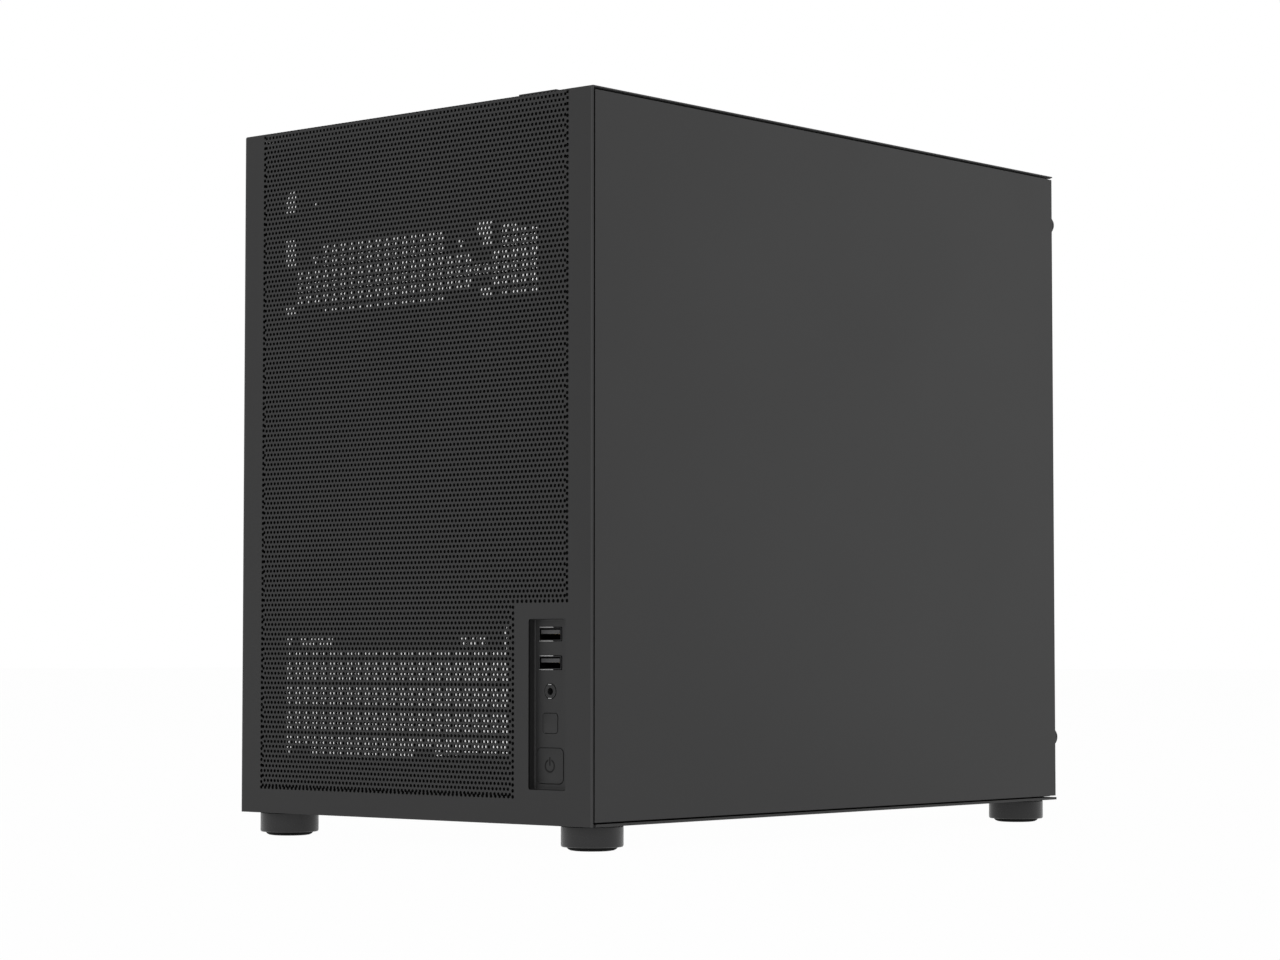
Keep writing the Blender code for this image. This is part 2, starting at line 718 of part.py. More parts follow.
def inner_front_wall(look):
    """The chassis front, with two vents, slots for the fans' screws and the port column's cut-out."""
    profile, flat = end_wall((-CHASSIS_X, WALL_Y + POST_FLANGE), -90)
    middle = flat - (BEND_RADIUS + CHASSIS_SHEET) + CHASSIS_X
    holes = []
    for low, high, columns, rows in (UPPER_VENT, BESIDE_VENT, LOWER_VENT):
        corners = [(middle + x * HALF, BODY_Z + z * CASE_HEIGHT) for x, z in (low, high)]
        for opening in vent_grid(*corners, columns, rows):
            holes.append(rectangle(*opening))
    for side in FAN_SLOT_SIDES:
        for height, length in FAN_SLOTS:
            spot = (middle + side * HALF, BODY_Z + height * CASE_HEIGHT)
            holes.append(rectangle(*around(spot, FAN_SLOT_WIDTH, length)))
    across, up = RECESS_WIDTH + 2 * (BEZEL_WALL + SEAT), RECESS_HEIGHT + 2 * (BEZEL_WALL + SEAT)
    holes.append(rectangle(*around((middle + RECESS_X, RECESS_Z), across, up)))
    outline = end_wall_blank(profile, flat)
    return sheet("inner_front_wall", look, profile, in_xy, CHASSIS_SHEET, outline, holes)


def slot_z(k):
    """The height of an expansion slot's middle, counted down from the port cut-out."""
    return IO_TOP_Z - IO_HEIGHT - SLOT_GAP_BELOW_IO - k * SLOT_PITCH


def rear_wall(look):
    """The rear, with the port cut-out, the fan vent, the expansion slots and the mains inlet's place."""
    profile, flat = end_wall((CHASSIS_X, REAR_WALL_Y - POST_FLANGE), 90)
    middle = flat - (BEND_RADIUS + CHASSIS_SHEET) + CHASSIS_X
    port = (middle - (HALF - IO_RIGHT - IO_WIDTH / 2), IO_TOP_Z - IO_HEIGHT / 2)
    holes = [rectangle(*around(port, IO_WIDTH, IO_HEIGHT))]
    vent = Vector((middle - FAN_VENT_X, TOP_Z - FAN_VENT_DROP))
    low, high = around(vent, 2 * FAN_VENT_RADIUS, 2 * FAN_VENT_RADIUS)
    for spot in lattice(low, high, FAN_VENT_PITCH, FAN_VENT_PITCH * cos(pi / 6), FAN_VENT_HOLE):
        if (Vector(spot) - vent).length + FAN_VENT_HOLE < FAN_VENT_RADIUS:
            holes.append(circle(spot, FAN_VENT_HOLE, HOLE_SIDES))
    for dx in (-1, 1):
        for dz in (-1, 1):
            spot = vent + FAN_SCREW_SPACING / 2 * Vector((dx, dz))
            holes.append(circle(spot, FAN_SCREW_RADIUS, HOLE_SIDES))
    for k in range(SLOT_COUNT):
        spot = (middle - SLOT_MIDDLE_X, slot_z(k))
        holes.append(rectangle(*around(spot, SLOT_LENGTH, SLOT_OPENING)))
    inlet = (middle - INLET_X, INLET_Z)
    holes.append(rectangle(*around(inlet, INLET_WIDTH + 2 * SEAT, INLET_BODY_HEIGHT + 2 * SEAT)))
    for side in (-1, 1):
        for height in SCREW_HEIGHTS:
            holes.append(circle((middle + side * SCREW_X, BODY_Z + height), SCREW_HOLE_RADIUS, SMALL_SIDES))
    outline = end_wall_blank(profile, flat)
    return sheet("rear_wall", look, profile, in_xy, CHASSIS_SHEET, outline, holes)


def motherboard_tray(look):
    """An upright tray with a cooler cut-out, cable openings and a flange at each end."""
    bend = BEND_RADIUS + CHASSIS_SHEET
    front = WALL_Y + TRAY_FRONT_GAP
    profile = Profile((TRAY_X + TRAY_FLANGE, TRAY_REAR_Y), 180)
    profile.straight(TRAY_FLANGE - bend).bend(90, bend)
    edge = profile.length - bend
    profile.straight(TRAY_REAR_Y - front - 2 * bend).bend(90, bend)
    profile.straight(TRAY_FLANGE - bend)
    cooler = (edge + COOLER_FROM_REAR, BOARD_TOP_Z - COOLER_DROP)
    holes = [rounded(*around(cooler, COOLER_WIDTH, COOLER_HEIGHT), TRAY_CORNER)]
    for drop in CABLE_DROPS:
        spot = (edge + BOARD_HEIGHT + CABLE_HOLE_WIDTH, BOARD_TOP_Z - drop)
        holes.append(rounded(*around(spot, CABLE_HOLE_WIDTH, CABLE_HOLE_LENGTH), TRAY_CORNER))
    outline = rectangle((0.0, FLOOR_Z + SEAT), (profile.length, ROOF_Z - SEAT))
    return sheet("motherboard_tray", look, profile, in_xy, CHASSIS_SHEET, outline, holes)


def standoffs(look):
    """Hexagonal pillars on the tray, at six of the board's hole places."""
    shape = [
        (0.0, 0.0),
        (STANDOFF_RADIUS, 0.0),
        (STANDOFF_RADIUS, STANDOFF_LENGTH),
        (STANDOFF_BORE, STANDOFF_LENGTH),
        (STANDOFF_BORE, STANDOFF_LENGTH / 2),
        (0.0, STANDOFF_LENGTH / 2),
    ]
    count = 0
    for along in STANDOFF_ALONG:
        for drop in STANDOFF_DROPS:
            count += 1
            spot = (TRAY_X - SEAT, TRAY_REAR_Y - along, BOARD_TOP_Z - drop)
            turned("standoff_%d" % count, look, shape, spot, (-1, 0, 0), 6)


def slot_cover(look, k):
    """A blade inside the rear wall, with a tab that comes out through the slot's end."""
    bend = BEND_RADIUS + COVER_SHEET
    face = REAR_WALL_Y - CHASSIS_SHEET - SEAT - COVER_SHEET
    left = SLOT_LEFT_X + SEAT
    profile = Profile((left, REAR_WALL_Y + COVER_TAB), -90)
    profile.straight(REAR_WALL_Y + COVER_TAB - face - bend).bend(90, bend)
    shoulder = profile.length
    profile.straight(SLOT_LENGTH - SEAT + COVER_OVERLAP - bend)
    z, blade, tab = slot_z(k), COVER_WIDTH / 2, COVER_TAB_WIDTH / 2
    outline = [
        (0.0, z - tab),
        (shoulder, z - tab),
        (shoulder, z - blade),
        (profile.length, z - blade),
        (profile.length, z + blade),
        (shoulder, z + blade),
        (shoulder, z + tab),
        (0.0, z + tab),
    ]
    holes = [circle((COVER_TAB / 2, z), SLOT_SCREW_RADIUS + SEAT, SMALL_SIDES)]
    for i in range(COVER_VENTS):
        s = shoulder + (i + 1) * (SLOT_LENGTH - bend) / (COVER_VENTS + 1)
        holes.append(rectangle(*around((s, z), COVER_VENT_LENGTH, COVER_VENT_WIDTH)))
    return sheet("slot_cover_%d" % (k + 1), look, profile, in_xy, COVER_SHEET, outline, holes)


def slot_screw(look, k):
    """Holds a cover's tab to the ledge. It points along -X, with its head on the tab."""
    shape = [
        (0.0, 0.0),
        (SLOT_SCREW_RADIUS, 0.0),
        (SLOT_SCREW_RADIUS, SLOT_SCREW_LENGTH),
        (SLOT_SCREW_HEAD, SLOT_SCREW_LENGTH),
        (SLOT_SCREW_HEAD * SLOT_SCREW_TOP, SLOT_SCREW_LENGTH + SLOT_SCREW_RIM),
        (0.0, SLOT_SCREW_LENGTH + SLOT_SCREW_CROWN),
    ]
    seat = SLOT_LEFT_X + SEAT + COVER_SHEET + SEAT
    spot = (seat - SLOT_SCREW_LENGTH, REAR_WALL_Y + COVER_TAB / 2, slot_z(k))
    return turned("slot_screw_%d" % (k + 1), look, shape, spot, (1, 0, 0), SMALL_SIDES)


def slot_ledge(look):
    """The angle outside the rear wall that the covers' tabs are screwed to."""
    bend = BEND_RADIUS + LEDGE_SHEET
    profile = Profile((SLOT_LEFT_X - LEDGE_WIDTH, REAR_WALL_Y + SEAT), 0)
    profile.straight(LEDGE_WIDTH - bend).bend(90, bend)
    profile.straight(COVER_TAB - SEAT - bend)
    low = slot_z(SLOT_COUNT - 1) - SLOT_PITCH / 2
    high = slot_z(0) + SLOT_PITCH / 2
    holes = []
    for k in range(SLOT_COUNT):
        s = profile.length - COVER_TAB / 2
        holes.append(circle((s, slot_z(k)), SLOT_SCREW_RADIUS + SEAT, SMALL_SIDES))
    outline = rectangle((0.0, low), (profile.length, high))
    return sheet("slot_ledge", look, profile, in_xy, LEDGE_SHEET, outline, holes)


def power_inlet(look):
    """A three-pin mains inlet, pushed in through the rear wall from outside."""
    z = INLET_Z
    face = REAR_WALL_Y + SEAT
    flange = rounded(*around((INLET_X, z), INLET_FLANGE_WIDTH, INLET_FLANGE_HEIGHT), INLET_CORNER, 2)
    bm = bmesh.new()
    prism(bm, flange, (face, face + INLET_FLANGE), front_place)
    made = finish(bm, "power_inlet", look)
    body = rectangle(*around((INLET_X, z), INLET_WIDTH, INLET_BODY_HEIGHT))
    reach = (face - INLET_DEPTH, face + INLET_FLANGE / 2)
    apply_boolean(made, cutter("inlet_body", body, reach, front_place), "UNION")
    wall = 2 * INLET_WALL
    hollow = rectangle(*around((INLET_X, z), INLET_WIDTH - wall, INLET_BODY_HEIGHT - wall))
    depth = (face - INLET_DEPTH + INLET_WALL, face + 2 * INLET_FLANGE)
    apply_boolean(made, cutter("inlet_hollow", hollow, depth, front_place), "DIFFERENCE")
    pins = ((0.0, 0.0), (INLET_PIN_SIDE, INLET_PIN_RISE), (INLET_PIN_SIDE, -INLET_PIN_RISE))
    for k, (dx, dz) in enumerate(pins):
        centre = (INLET_X - INLET_PIN_SIDE / 2 + dx, z + dz)
        pin = rectangle(*around(centre, INLET_PIN_WIDTH, INLET_PIN_THICKNESS))
        reach = (face - INLET_DEPTH + INLET_WALL / 2, face - INLET_WALL)
        apply_boolean(made, cutter("inlet_pin_%d" % k, pin, reach, front_place), "UNION")
    return made


def supply_bracket(look):
    """An angle behind the chassis front that carries the power supply by four screws."""
    bend = BEND_RADIUS + CHASSIS_SHEET
    profile = Profile((SUPPLY_X - SUPPLY_FLANGE, WALL_Y + CHASSIS_SHEET + SEAT), 0)
    profile.straight(SUPPLY_FLANGE - bend).bend(90, bend)
    profile.straight(SUPPLY_DEPTH - bend)
    low = BODY_Z + SUPPLY_BOTTOM
    middle = (profile.length - SUPPLY_DEPTH / 2, low + SUPPLY_HEIGHT / 2)
    holes = [rounded(*around(middle, SUPPLY_WINDOW_DEPTH, SUPPLY_WINDOW_HEIGHT), SUPPLY_WINDOW_CORNER)]
    for ds in (-1, 1):
        for dz in (-1, 1):
            spot = (middle[0] + ds * SUPPLY_SCREW_DEPTH / 2, middle[1] + dz * SUPPLY_SCREW_HEIGHT / 2)
            holes.append(circle(spot, SCREW_HOLE_RADIUS, SMALL_SIDES))
    outline = rectangle((0.0, low), (profile.length, low + SUPPLY_HEIGHT))
    return sheet("supply_bracket", look, profile, in_xy, CHASSIS_SHEET, outline, holes)


def drive_bracket(look):
    """A hat-shaped bracket on the back of the tray that holds a small drive."""
    outer, inner = BEND_RADIUS + CHASSIS_SHEET, BEND_RADIUS
    rise = DRIVE_RISE - outer - inner
    middle = TRAY_REAR_Y - DRIVE_FROM_REAR
    foot = DRIVE_FLANGE - inner
    start = middle - DRIVE_WIDTH / 2 - DRIVE_FLANGE
    profile = Profile((TRAY_X + CHASSIS_SHEET + SEAT, start), 90)
    profile.straight(foot).bend(-90, inner + CHASSIS_SHEET).straight(rise).bend(90, inner)
    profile.straight(DRIVE_WIDTH - 2 * inner).bend(90, inner).straight(rise)
    profile.bend(-90, inner + CHASSIS_SHEET).straight(foot)
    low = FLOOR_Z + DRIVE_BOTTOM
    centre = (profile.length / 2, low + DRIVE_LENGTH / 2)
    across, up = DRIVE_WIDTH - 2 * DRIVE_SIDE_MARGIN, DRIVE_LENGTH - 2 * DRIVE_END_MARGIN
    holes = [rounded(*around(centre, across, up), DRIVE_CORNER)]
    outline = rectangle((0.0, low), (profile.length, low + DRIVE_LENGTH))
    return sheet("drive_bracket", look, profile, in_xy, -CHASSIS_SHEET, outline, holes)


# Ports and buttons in the recess

def io_bezel(look):
    """A moulded tube behind the front's cut-out, with a flange, a sunk floor and openings in it."""
    back = FRONT_Y + SHELL_SHEET + SEAT
    centre = (RECESS_X, RECESS_Z)
    across, up = RECESS_WIDTH + 2 * BEZEL_WALL, RECESS_HEIGHT + 2 * BEZEL_WALL
    bm = bmesh.new()
    flange = rounded(*around(centre, across + 2 * BEZEL_FLANGE, up + 2 * BEZEL_FLANGE), BEZEL_FLANGE, 2)
    prism(bm, flange, (back, back + BEZEL_WALL), front_place)
    made = finish(bm, "io_bezel", look)
    tube = rectangle(*around(centre, across, up))
    reach = (back + BEZEL_WALL / 2, BEZEL_BACK_Y)
    apply_boolean(made, cutter("bezel_tube", tube, reach, front_place), "UNION")
    inside = rectangle(*around(centre, RECESS_WIDTH, RECESS_HEIGHT))
    front = cutter("bezel_front", inside, (FRONT_Y, RECESS_Y), front_place)
    rear = cutter("bezel_rear", inside, (RECESS_Y + BEZEL_FLOOR, BEZEL_BACK_Y + BEZEL_WALL), front_place)
    apply_boolean(made, front, "DIFFERENCE")
    apply_boolean(made, rear, "DIFFERENCE")
    through = (RECESS_Y - BEZEL_FLOOR, RECESS_Y + 2 * BEZEL_FLOOR)
    outlines = [circle((PORT_X, BODY_Z + JACK_HEIGHT), JACK_RADIUS + SEAT, ROUND_SIDES)]
    for height in USB_HEIGHTS:
        spot = (PORT_X, BODY_Z + height)
        outlines.append(rectangle(*around(spot, USB_WIDTH + 2 * SEAT, USB_HEIGHT + 2 * SEAT)))
    for height, width in ((RESET_HEIGHT, RESET_WIDTH), (POWER_HEIGHT, POWER_WIDTH)):
        spot = around((PORT_X, BODY_Z + height), width + 2 * BUTTON_GAP, width + 2 * BUTTON_GAP)
        outlines.append(rounded(*spot, width * BUTTON_CORNER + BUTTON_GAP, 3))
    for k, outline in enumerate(outlines):
        apply_boolean(made, cutter("port_opening_%d" % k, outline, through, front_place), "DIFFERENCE")
    return made


def io_board(look):
    face = BEZEL_BACK_Y + SEAT
    across, up = RECESS_WIDTH + 2 * BEZEL_WALL, RECESS_HEIGHT + 2 * BEZEL_WALL
    low = (RECESS_X - across / 2, face, RECESS_Z - up / 2)
    high = (RECESS_X + across / 2, face + BOARD_SHEET, RECESS_Z + up / 2)
    return block("io_board", look, low, high)


def usb_port(metal, plastic, name, height):
    """A socket's metal shell, standing on the board, and the plastic tongue inside it."""
    z = BODY_Z + height
    front = RECESS_Y - PORT_PROUD
    low = (PORT_X - USB_WIDTH / 2, front, z - USB_HEIGHT / 2)
    high = (PORT_X + USB_WIDTH / 2, BEZEL_BACK_Y, z + USB_HEIGHT / 2)
    shell = block("usb_shell_" + name, metal, low, high)
    inside = rectangle(*around((PORT_X, z), USB_WIDTH - 2 * USB_SHELL, USB_HEIGHT - 2 * USB_SHELL))
    depth = (front - PORT_PROUD, BEZEL_BACK_Y - USB_SHELL)
    apply_boolean(shell, cutter("usb_hollow_" + name, inside, depth, front_place), "DIFFERENCE")
    top = z + USB_HEIGHT / 2 - USB_SHELL - SEAT
    low = (PORT_X - TONGUE_WIDTH / 2, front + TONGUE_SETBACK, top - TONGUE_THICKNESS)
    high = (PORT_X + TONGUE_WIDTH / 2, BEZEL_BACK_Y - USB_SHELL - SEAT, top)
    block("usb_tongue_" + name, plastic, low, high)


def audio_jack(look):
    front = RECESS_Y - PORT_PROUD
    length = BEZEL_BACK_Y - front
    shape = [
        (0.0, 0.0),
        (JACK_RADIUS, 0.0),
        (JACK_RADIUS, length),
        (JACK_BORE, length),
        (JACK_BORE, length * 0.1),
        (0.0, length * 0.1),
    ]
    spot = (PORT_X, BEZEL_BACK_Y, BODY_Z + JACK_HEIGHT)
    return turned("audio_jack", look, shape, spot, (0, -1, 0), ROUND_SIDES)


def push_button(look, name, height, width):
    """A cap with a retaining lip behind the floor and a stem to its switch."""
    centre = (PORT_X, BODY_Z + height)
    corner = width * BUTTON_CORNER
    lip_front = RECESS_Y + BEZEL_FLOOR + SEAT
    lip_back = lip_front + BUTTON_LIP_DEPTH
    bm = bmesh.new()
    cap = rounded(*around(centre, width, width), corner, 3)
    prism(bm, cap, (RECESS_Y - BUTTON_PROUD, lip_front + BUTTON_LIP_DEPTH / 2), front_place)
    made = finish(bm, name, look)
    wide = width + 2 * BUTTON_GAP + 2 * BUTTON_LIP
    lip = rounded(*around(centre, wide, wide), corner, 3)
    apply_boolean(made, cutter(name + "_lip", lip, (lip_front, lip_back), front_place), "UNION")
    stem = circle(centre, STEM_RADIUS, SMALL_SIDES)
    reach = (lip_front + BUTTON_LIP_DEPTH / 2, SWITCH_FRONT_Y - BUTTON_TRAVEL - SEAT)
    apply_boolean(made, cutter(name + "_stem", stem, reach, front_place), "UNION")
    return made


def tact_switch(look, name, height):
    """The switch on the board behind a button."""
    z = BODY_Z + height
    half = SWITCH_WIDTH / 2
    low = (PORT_X - half, BEZEL_BACK_Y - SWITCH_DEPTH, z - half)
    made = block(name, look, low, (PORT_X + half, BEZEL_BACK_Y, z + half))
    cap = circle((PORT_X, z), SWITCH_CAP_RADIUS, SMALL_SIDES)
    reach = (SWITCH_FRONT_Y, BEZEL_BACK_Y - SWITCH_DEPTH / 2)
    apply_boolean(made, cutter(name + "_cap", cap, reach, front_place), "UNION")
    return made


# Feet and thumbscrews

def feet(plastic, rubber):
    """Four round feet, each with a rubber pad pressed into its open underside."""
    pad_radius = FOOT_RADIUS - FOOT_WALL - SEAT
    top = BODY_Z - SEAT
    foot = [
        (0.0, PAD_HEIGHT + SEAT),
        (pad_radius + SEAT, PAD_HEIGHT + SEAT),
        (pad_radius + SEAT, FOOT_RING_HEIGHT),
        (FOOT_RADIUS - FOOT_CHAMFER, FOOT_RING_HEIGHT),
        (FOOT_RADIUS, FOOT_RING_HEIGHT + FOOT_CHAMFER),
        (FOOT_RADIUS, top),
        (0.0, top),
    ]
    pad = [
        (0.0, 0.0),
        (pad_radius - PAD_CHAMFER, 0.0),
        (pad_radius - PAD_CHAMFER / 3, PAD_CHAMFER / 5),
        (pad_radius, PAD_CHAMFER / 2),
        (pad_radius, PAD_HEIGHT),
        (0.0, PAD_HEIGHT),
    ]
    rows = (("front", FRONT_Y + FOOT_FRONT_INSET), ("rear", REAR_Y - FOOT_REAR_INSET))
    for side, x in (("left", -HALF + FOOT_SIDE_INSET), ("right", HALF - FOOT_SIDE_INSET)):
        for row, y in rows:
            turned("foot_%s_%s" % (row, side), plastic, foot, (x, y, 0.0), (0, 0, 1), ROUND_SIDES)
            turned("foot_pad_%s_%s" % (row, side), rubber, pad, (x, y, 0.0), (0, 0, 1), ROUND_SIDES)


def thumbscrew(look, name, x, z):
    """A knurled screw through a panel's rear flange into the rear wall, turned about its own axis."""
    notches = 2 * SCREW_NOTCHES
    head, small = SCREW_HEAD_RADIUS, SCREW_HEAD_RADIUS - SCREW_NOTCH_DEPTH
    rings = [
        (SCREW_SHANK_RADIUS, SCREW_SHANK_RADIUS, -SCREW_LENGTH),
        (SCREW_SHANK_RADIUS, SCREW_SHANK_RADIUS, SEAT),
        (small, small, SEAT),
        (small, small, SCREW_COLLAR),
        (head, small, SCREW_COLLAR + SCREW_NOTCH_DEPTH),
        (head, small, SEAT + SCREW_HEAD_LENGTH - 2 * SCREW_NOTCH_DEPTH),
        (small * 0.9, small * 0.9, SEAT + SCREW_HEAD_LENGTH),
    ]
    bm = bmesh.new()
    made = []
    for wide, narrow, along in rings:
        turns = [2 * pi * k / notches for k in range(notches)]
        ring = []
        for k, turn in enumerate(turns):
            radius = narrow if k % 2 else wide
            ring.append(bm.verts.new((radius * cos(turn), along, radius * sin(turn))))
        made.append(ring)
    for near, far in zip(made, made[1:]):
        for k in range(notches):
            n = (k + 1) % notches
            bm.faces.new((near[k], near[n], far[n], far[k]))
    bm.faces.new(made[0])
    bm.faces.new(made[-1])
    screw = finish(bm, name, look)
    screw.location = (x, REAR_Y, z)
    return screw


def main():
    clear_scene()
    shell = material("black_powder_coat", (0.045, 0.045, 0.046), 0.55, 0.2)
    steel = material("black_steel", (0.030, 0.030, 0.031), 0.50, 0.3)
    plastic = material("black_plastic", (0.035, 0.035, 0.036), 0.45)
    rubber = material("black_rubber", (0.012, 0.012, 0.012), 0.85)
    bright = material("bright_metal", (0.60, 0.60, 0.60), 0.30, 1.0)
    front_top_shell(shell)
    bottom_plate(shell)
    right_panel(shell)
    left_glass(material("clear_glass", (0.85, 0.88, 0.88), 0.03, 0.0, 0.9))
    left_panel_frame(steel)
    top_dust_filter(material("filter_sheet", (0.03, 0.03, 0.03), 0.7))
    chassis_base(steel)
    chassis_top(steel)
    inner_front_wall(steel)
    rear_wall(steel)
    motherboard_tray(steel)
    standoffs(material("brass", (0.60, 0.42, 0.16), 0.35, 1.0))
    for k in range(SLOT_COUNT):
        slot_cover(steel, k)
        slot_screw(bright, k)
    slot_ledge(steel)
    power_inlet(plastic)
    supply_bracket(steel)
    drive_bracket(steel)
    io_bezel(plastic)
    io_board(material("circuit_board", (0.01, 0.05, 0.03), 0.5))
    for name, height in zip(("upper", "lower"), USB_HEIGHTS):
        usb_port(bright, plastic, name, height)
    audio_jack(plastic)
    push_button(plastic, "power_button", POWER_HEIGHT, POWER_WIDTH)
    push_button(plastic, "reset_button", RESET_HEIGHT, RESET_WIDTH)
    tact_switch(plastic, "power_switch", POWER_HEIGHT)
    tact_switch(plastic, "reset_switch", RESET_HEIGHT)
    feet(plastic, rubber)
    for side, x in (("left", -SCREW_X), ("right", SCREW_X)):
        for row, height in zip(("lower", "upper"), SCREW_HEIGHTS):
            thumbscrew(steel, "thumbscrew_%s_%s" % (side, row), x, BODY_Z + height)


main()
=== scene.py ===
"""Looks for a micro ATX PC case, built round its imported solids.

Units are metres, +Z is up, the front faces -Y and +X is to the right seen from the front.
The sizes below repeat those of the case's solids, so each piece sits where its solid does.
"""

from math import atan2, cos, pi, radians, sin

import bmesh
import bpy
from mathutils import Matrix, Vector
from mathutils.geometry import delaunay_2d_cdt


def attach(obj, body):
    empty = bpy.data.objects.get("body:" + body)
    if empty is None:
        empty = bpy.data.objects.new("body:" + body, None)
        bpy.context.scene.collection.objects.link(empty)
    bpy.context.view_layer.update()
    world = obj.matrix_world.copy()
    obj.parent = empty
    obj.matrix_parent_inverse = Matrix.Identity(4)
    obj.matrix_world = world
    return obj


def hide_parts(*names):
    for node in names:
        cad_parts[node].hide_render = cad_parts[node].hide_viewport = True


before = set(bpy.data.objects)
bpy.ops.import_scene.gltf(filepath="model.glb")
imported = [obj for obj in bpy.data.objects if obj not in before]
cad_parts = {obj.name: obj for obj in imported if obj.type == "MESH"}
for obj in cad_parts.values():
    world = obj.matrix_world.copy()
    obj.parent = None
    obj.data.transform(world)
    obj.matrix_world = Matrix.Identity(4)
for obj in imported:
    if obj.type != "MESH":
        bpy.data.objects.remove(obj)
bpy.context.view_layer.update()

# Outer shell
HALF = 0.110
FRONT_Y = -0.18355
REAR_Y = 0.17345
BODY_Z = 0.011
TOP_Z = 0.330
MESH_SHEET = 0.0010
SHELL_BEND = 0.0008
ROLL_SHEET = 0.0007
ROLL_WIDTH = 0.0010
ROLL_ROUND = 0.0005
PANEL_BEND = 0.0011
PANEL_GAP = 0.0009
PANEL_LOW = 0.0130
PANEL_HIGH = 0.3282
PANEL_FLANGE = 0.016
THIN_SHEET = 0.0010
BEND = 0.0012
SEAT = 0.0003

# Fine holes of the front and the top, along the blank from the body's lower edge
HOLE_PITCH = 0.00228
HOLE_ROW = 0.002268
HOLE_RADIUS = 0.00082
FIRST_COLUMN = 0.00168
FIRST_ROW = 0.00337 - BODY_Z
EDGE_HOLE_PITCH = 0.00257
EDGE_HOLE_RADIUS = 0.00086
FIELD_LEFT = -0.0963
FIELD_RIGHT = 0.0954
FIELD_BOTTOM = 0.0118
FIELD_REAR = 0.0170
COLUMN_LEFT = 0.0638
COLUMN_TOP = 0.0968
MESH_JOINTS = (0.118, 0.212, 0.309, 0.500)
SQUARE_SPREAD = 1.12

# Port column
RECESS_X = 0.0838
RECESS_Z = 0.0631
RECESS_WIDTH = 0.0216
RECESS_HEIGHT = 0.0739
RECESS_Y = -0.17935
RECESS_CORNER = 0.0010
BEZEL_BACK_Y = -0.16455
BEZEL_WALL = 0.0014
BEZEL_FLOOR = 0.0020
BEZEL_FLANGE = 0.0030
CUT_PAST = 0.001
PORT_X = 0.0821
USB_HEIGHTS = {"upper": 0.0935, "lower": 0.0811}
USB_WIDTH = 0.0131
USB_HEIGHT = 0.0057
USB_SHELL = 0.0004
JACK_Z = 0.0687
JACK_RADIUS = 0.0032
RESET_Z = 0.0549
RESET_WIDTH = 0.0086
POWER_Z = 0.0365
POWER_WIDTH = 0.0154
BUTTON_GAP = 0.0002
BUTTON_PROUD = 0.0003
BUTTON_CORNER = 0.16
BUTTON_PRESS = 0.0009

# Glass pane, inside its ground edges
PANE_FRONT = -0.18075
PANE_REAR = 0.17285
PANE_LOW = 0.0135
PANE_HIGH = 0.3275
PANE_FACE = -0.1065
PANE_BAND = 0.0205
PANE_BAND_CORNER = 0.006
PANE_PRINT = 0.0002

# Chassis
CHASSIS_X = 0.1045
WALL_Y = -0.17155
REAR_WALL_Y = 0.17215
FLOOR_Z = 0.0135
ROOF_Z = 0.3275
POST_FLANGE = 0.012
INNER_FLANGE = 0.0085
SIDE_FLANGE = 0.0195
INNER_SHEET = 0.0006
CARD_SLOTS = (0.1177, 0.0974, 0.0771, 0.0568)
INLET = (-0.0780, 0.1530)
SCREW_X = 0.101
SCREW_HEIGHTS = {"lower": 0.0425, "upper": 0.306}
SCREW_HOLE_RADIUS = 0.0019

# Square vents of the inner front wall, from the middle of the first column
VENT_PITCH = 0.005754
VENT_WIDTH = 0.0046
VENT_HEIGHT = 0.0043
UPPER_VENTS_X = -0.0849
LOWER_VENTS_X = -0.0908
LOWER_VENTS_Z = 0.0855


# Selection and edit mode

def rest():
    """Leaves edit mode with nothing selected."""
    if bpy.context.mode != "OBJECT":
        bpy.ops.object.mode_set(mode="OBJECT")
    bpy.ops.object.select_all(action="DESELECT")


def take(piece):
    rest()
    piece.select_set(True)
    bpy.context.view_layer.objects.active = piece


def mark_all(action="SELECT"):
    bpy.ops.mesh.select_all(action=action)


def edit(piece, mode="FACE"):
    take(piece)
    bpy.ops.object.mode_set(mode="EDIT")
    bpy.ops.mesh.select_mode(type=mode)
    mark_all("DESELECT")


def pick(piece, kind, test):
    """Selects the vertices, edges or faces that pass a test, in edit mode."""
    bm = bmesh.from_edit_mesh(piece.data)
    for element in getattr(bm, kind):
        if test(element):
            element.select_set(True)
    bm.select_flush_mode()
    bmesh.update_edit_mesh(piece.data)


def middle(element):
    return sum((v.co for v in element.verts), Vector()) / len(element.verts)


def along(axis):
    """A test for edges that run along one axis."""
    def runs(edge):
        span = edge.verts[1].co - edge.verts[0].co
        return abs(span[axis]) > 0.999 * span.length
    return runs


def at(axis, place, slack=1e-5):
    """A test for elements that lie wholly in one plane across an axis."""
    return lambda element: all(abs(v.co[axis] - place) < slack for v in element.verts)


def apply(piece, kind, **settings):
    """Adds a modifier and applies it."""
    take(piece)
    modifier = piece.modifiers.new(kind.title(), kind)
    for key, value in settings.items():
        setattr(modifier, key, value)
    bpy.ops.object.modifier_apply(modifier=modifier.name)


def soften(piece, width, segments=2, angle=30):
    """Takes the sharpness off every corner over an angle."""
    apply(piece, "BEVEL", width=width, segments=segments, limit_method="ANGLE",
          angle_limit=radians(angle), use_clamp_overlap=True)


def drop(*pieces):
    for piece in pieces:
        bpy.data.objects.remove(piece, do_unlink=True)


def cut(piece, cutter, operation="DIFFERENCE"):
    apply(piece, "BOOLEAN", operation=operation, object=cutter, solver="EXACT")
    drop(cutter)


def face_out(piece):
    """Merges the points that coincide and turns every face outward."""
    edit(piece)
    mark_all()
    bpy.ops.mesh.remove_doubles(threshold=1e-7)
    bpy.ops.mesh.normals_make_consistent(inside=False)
    rest()


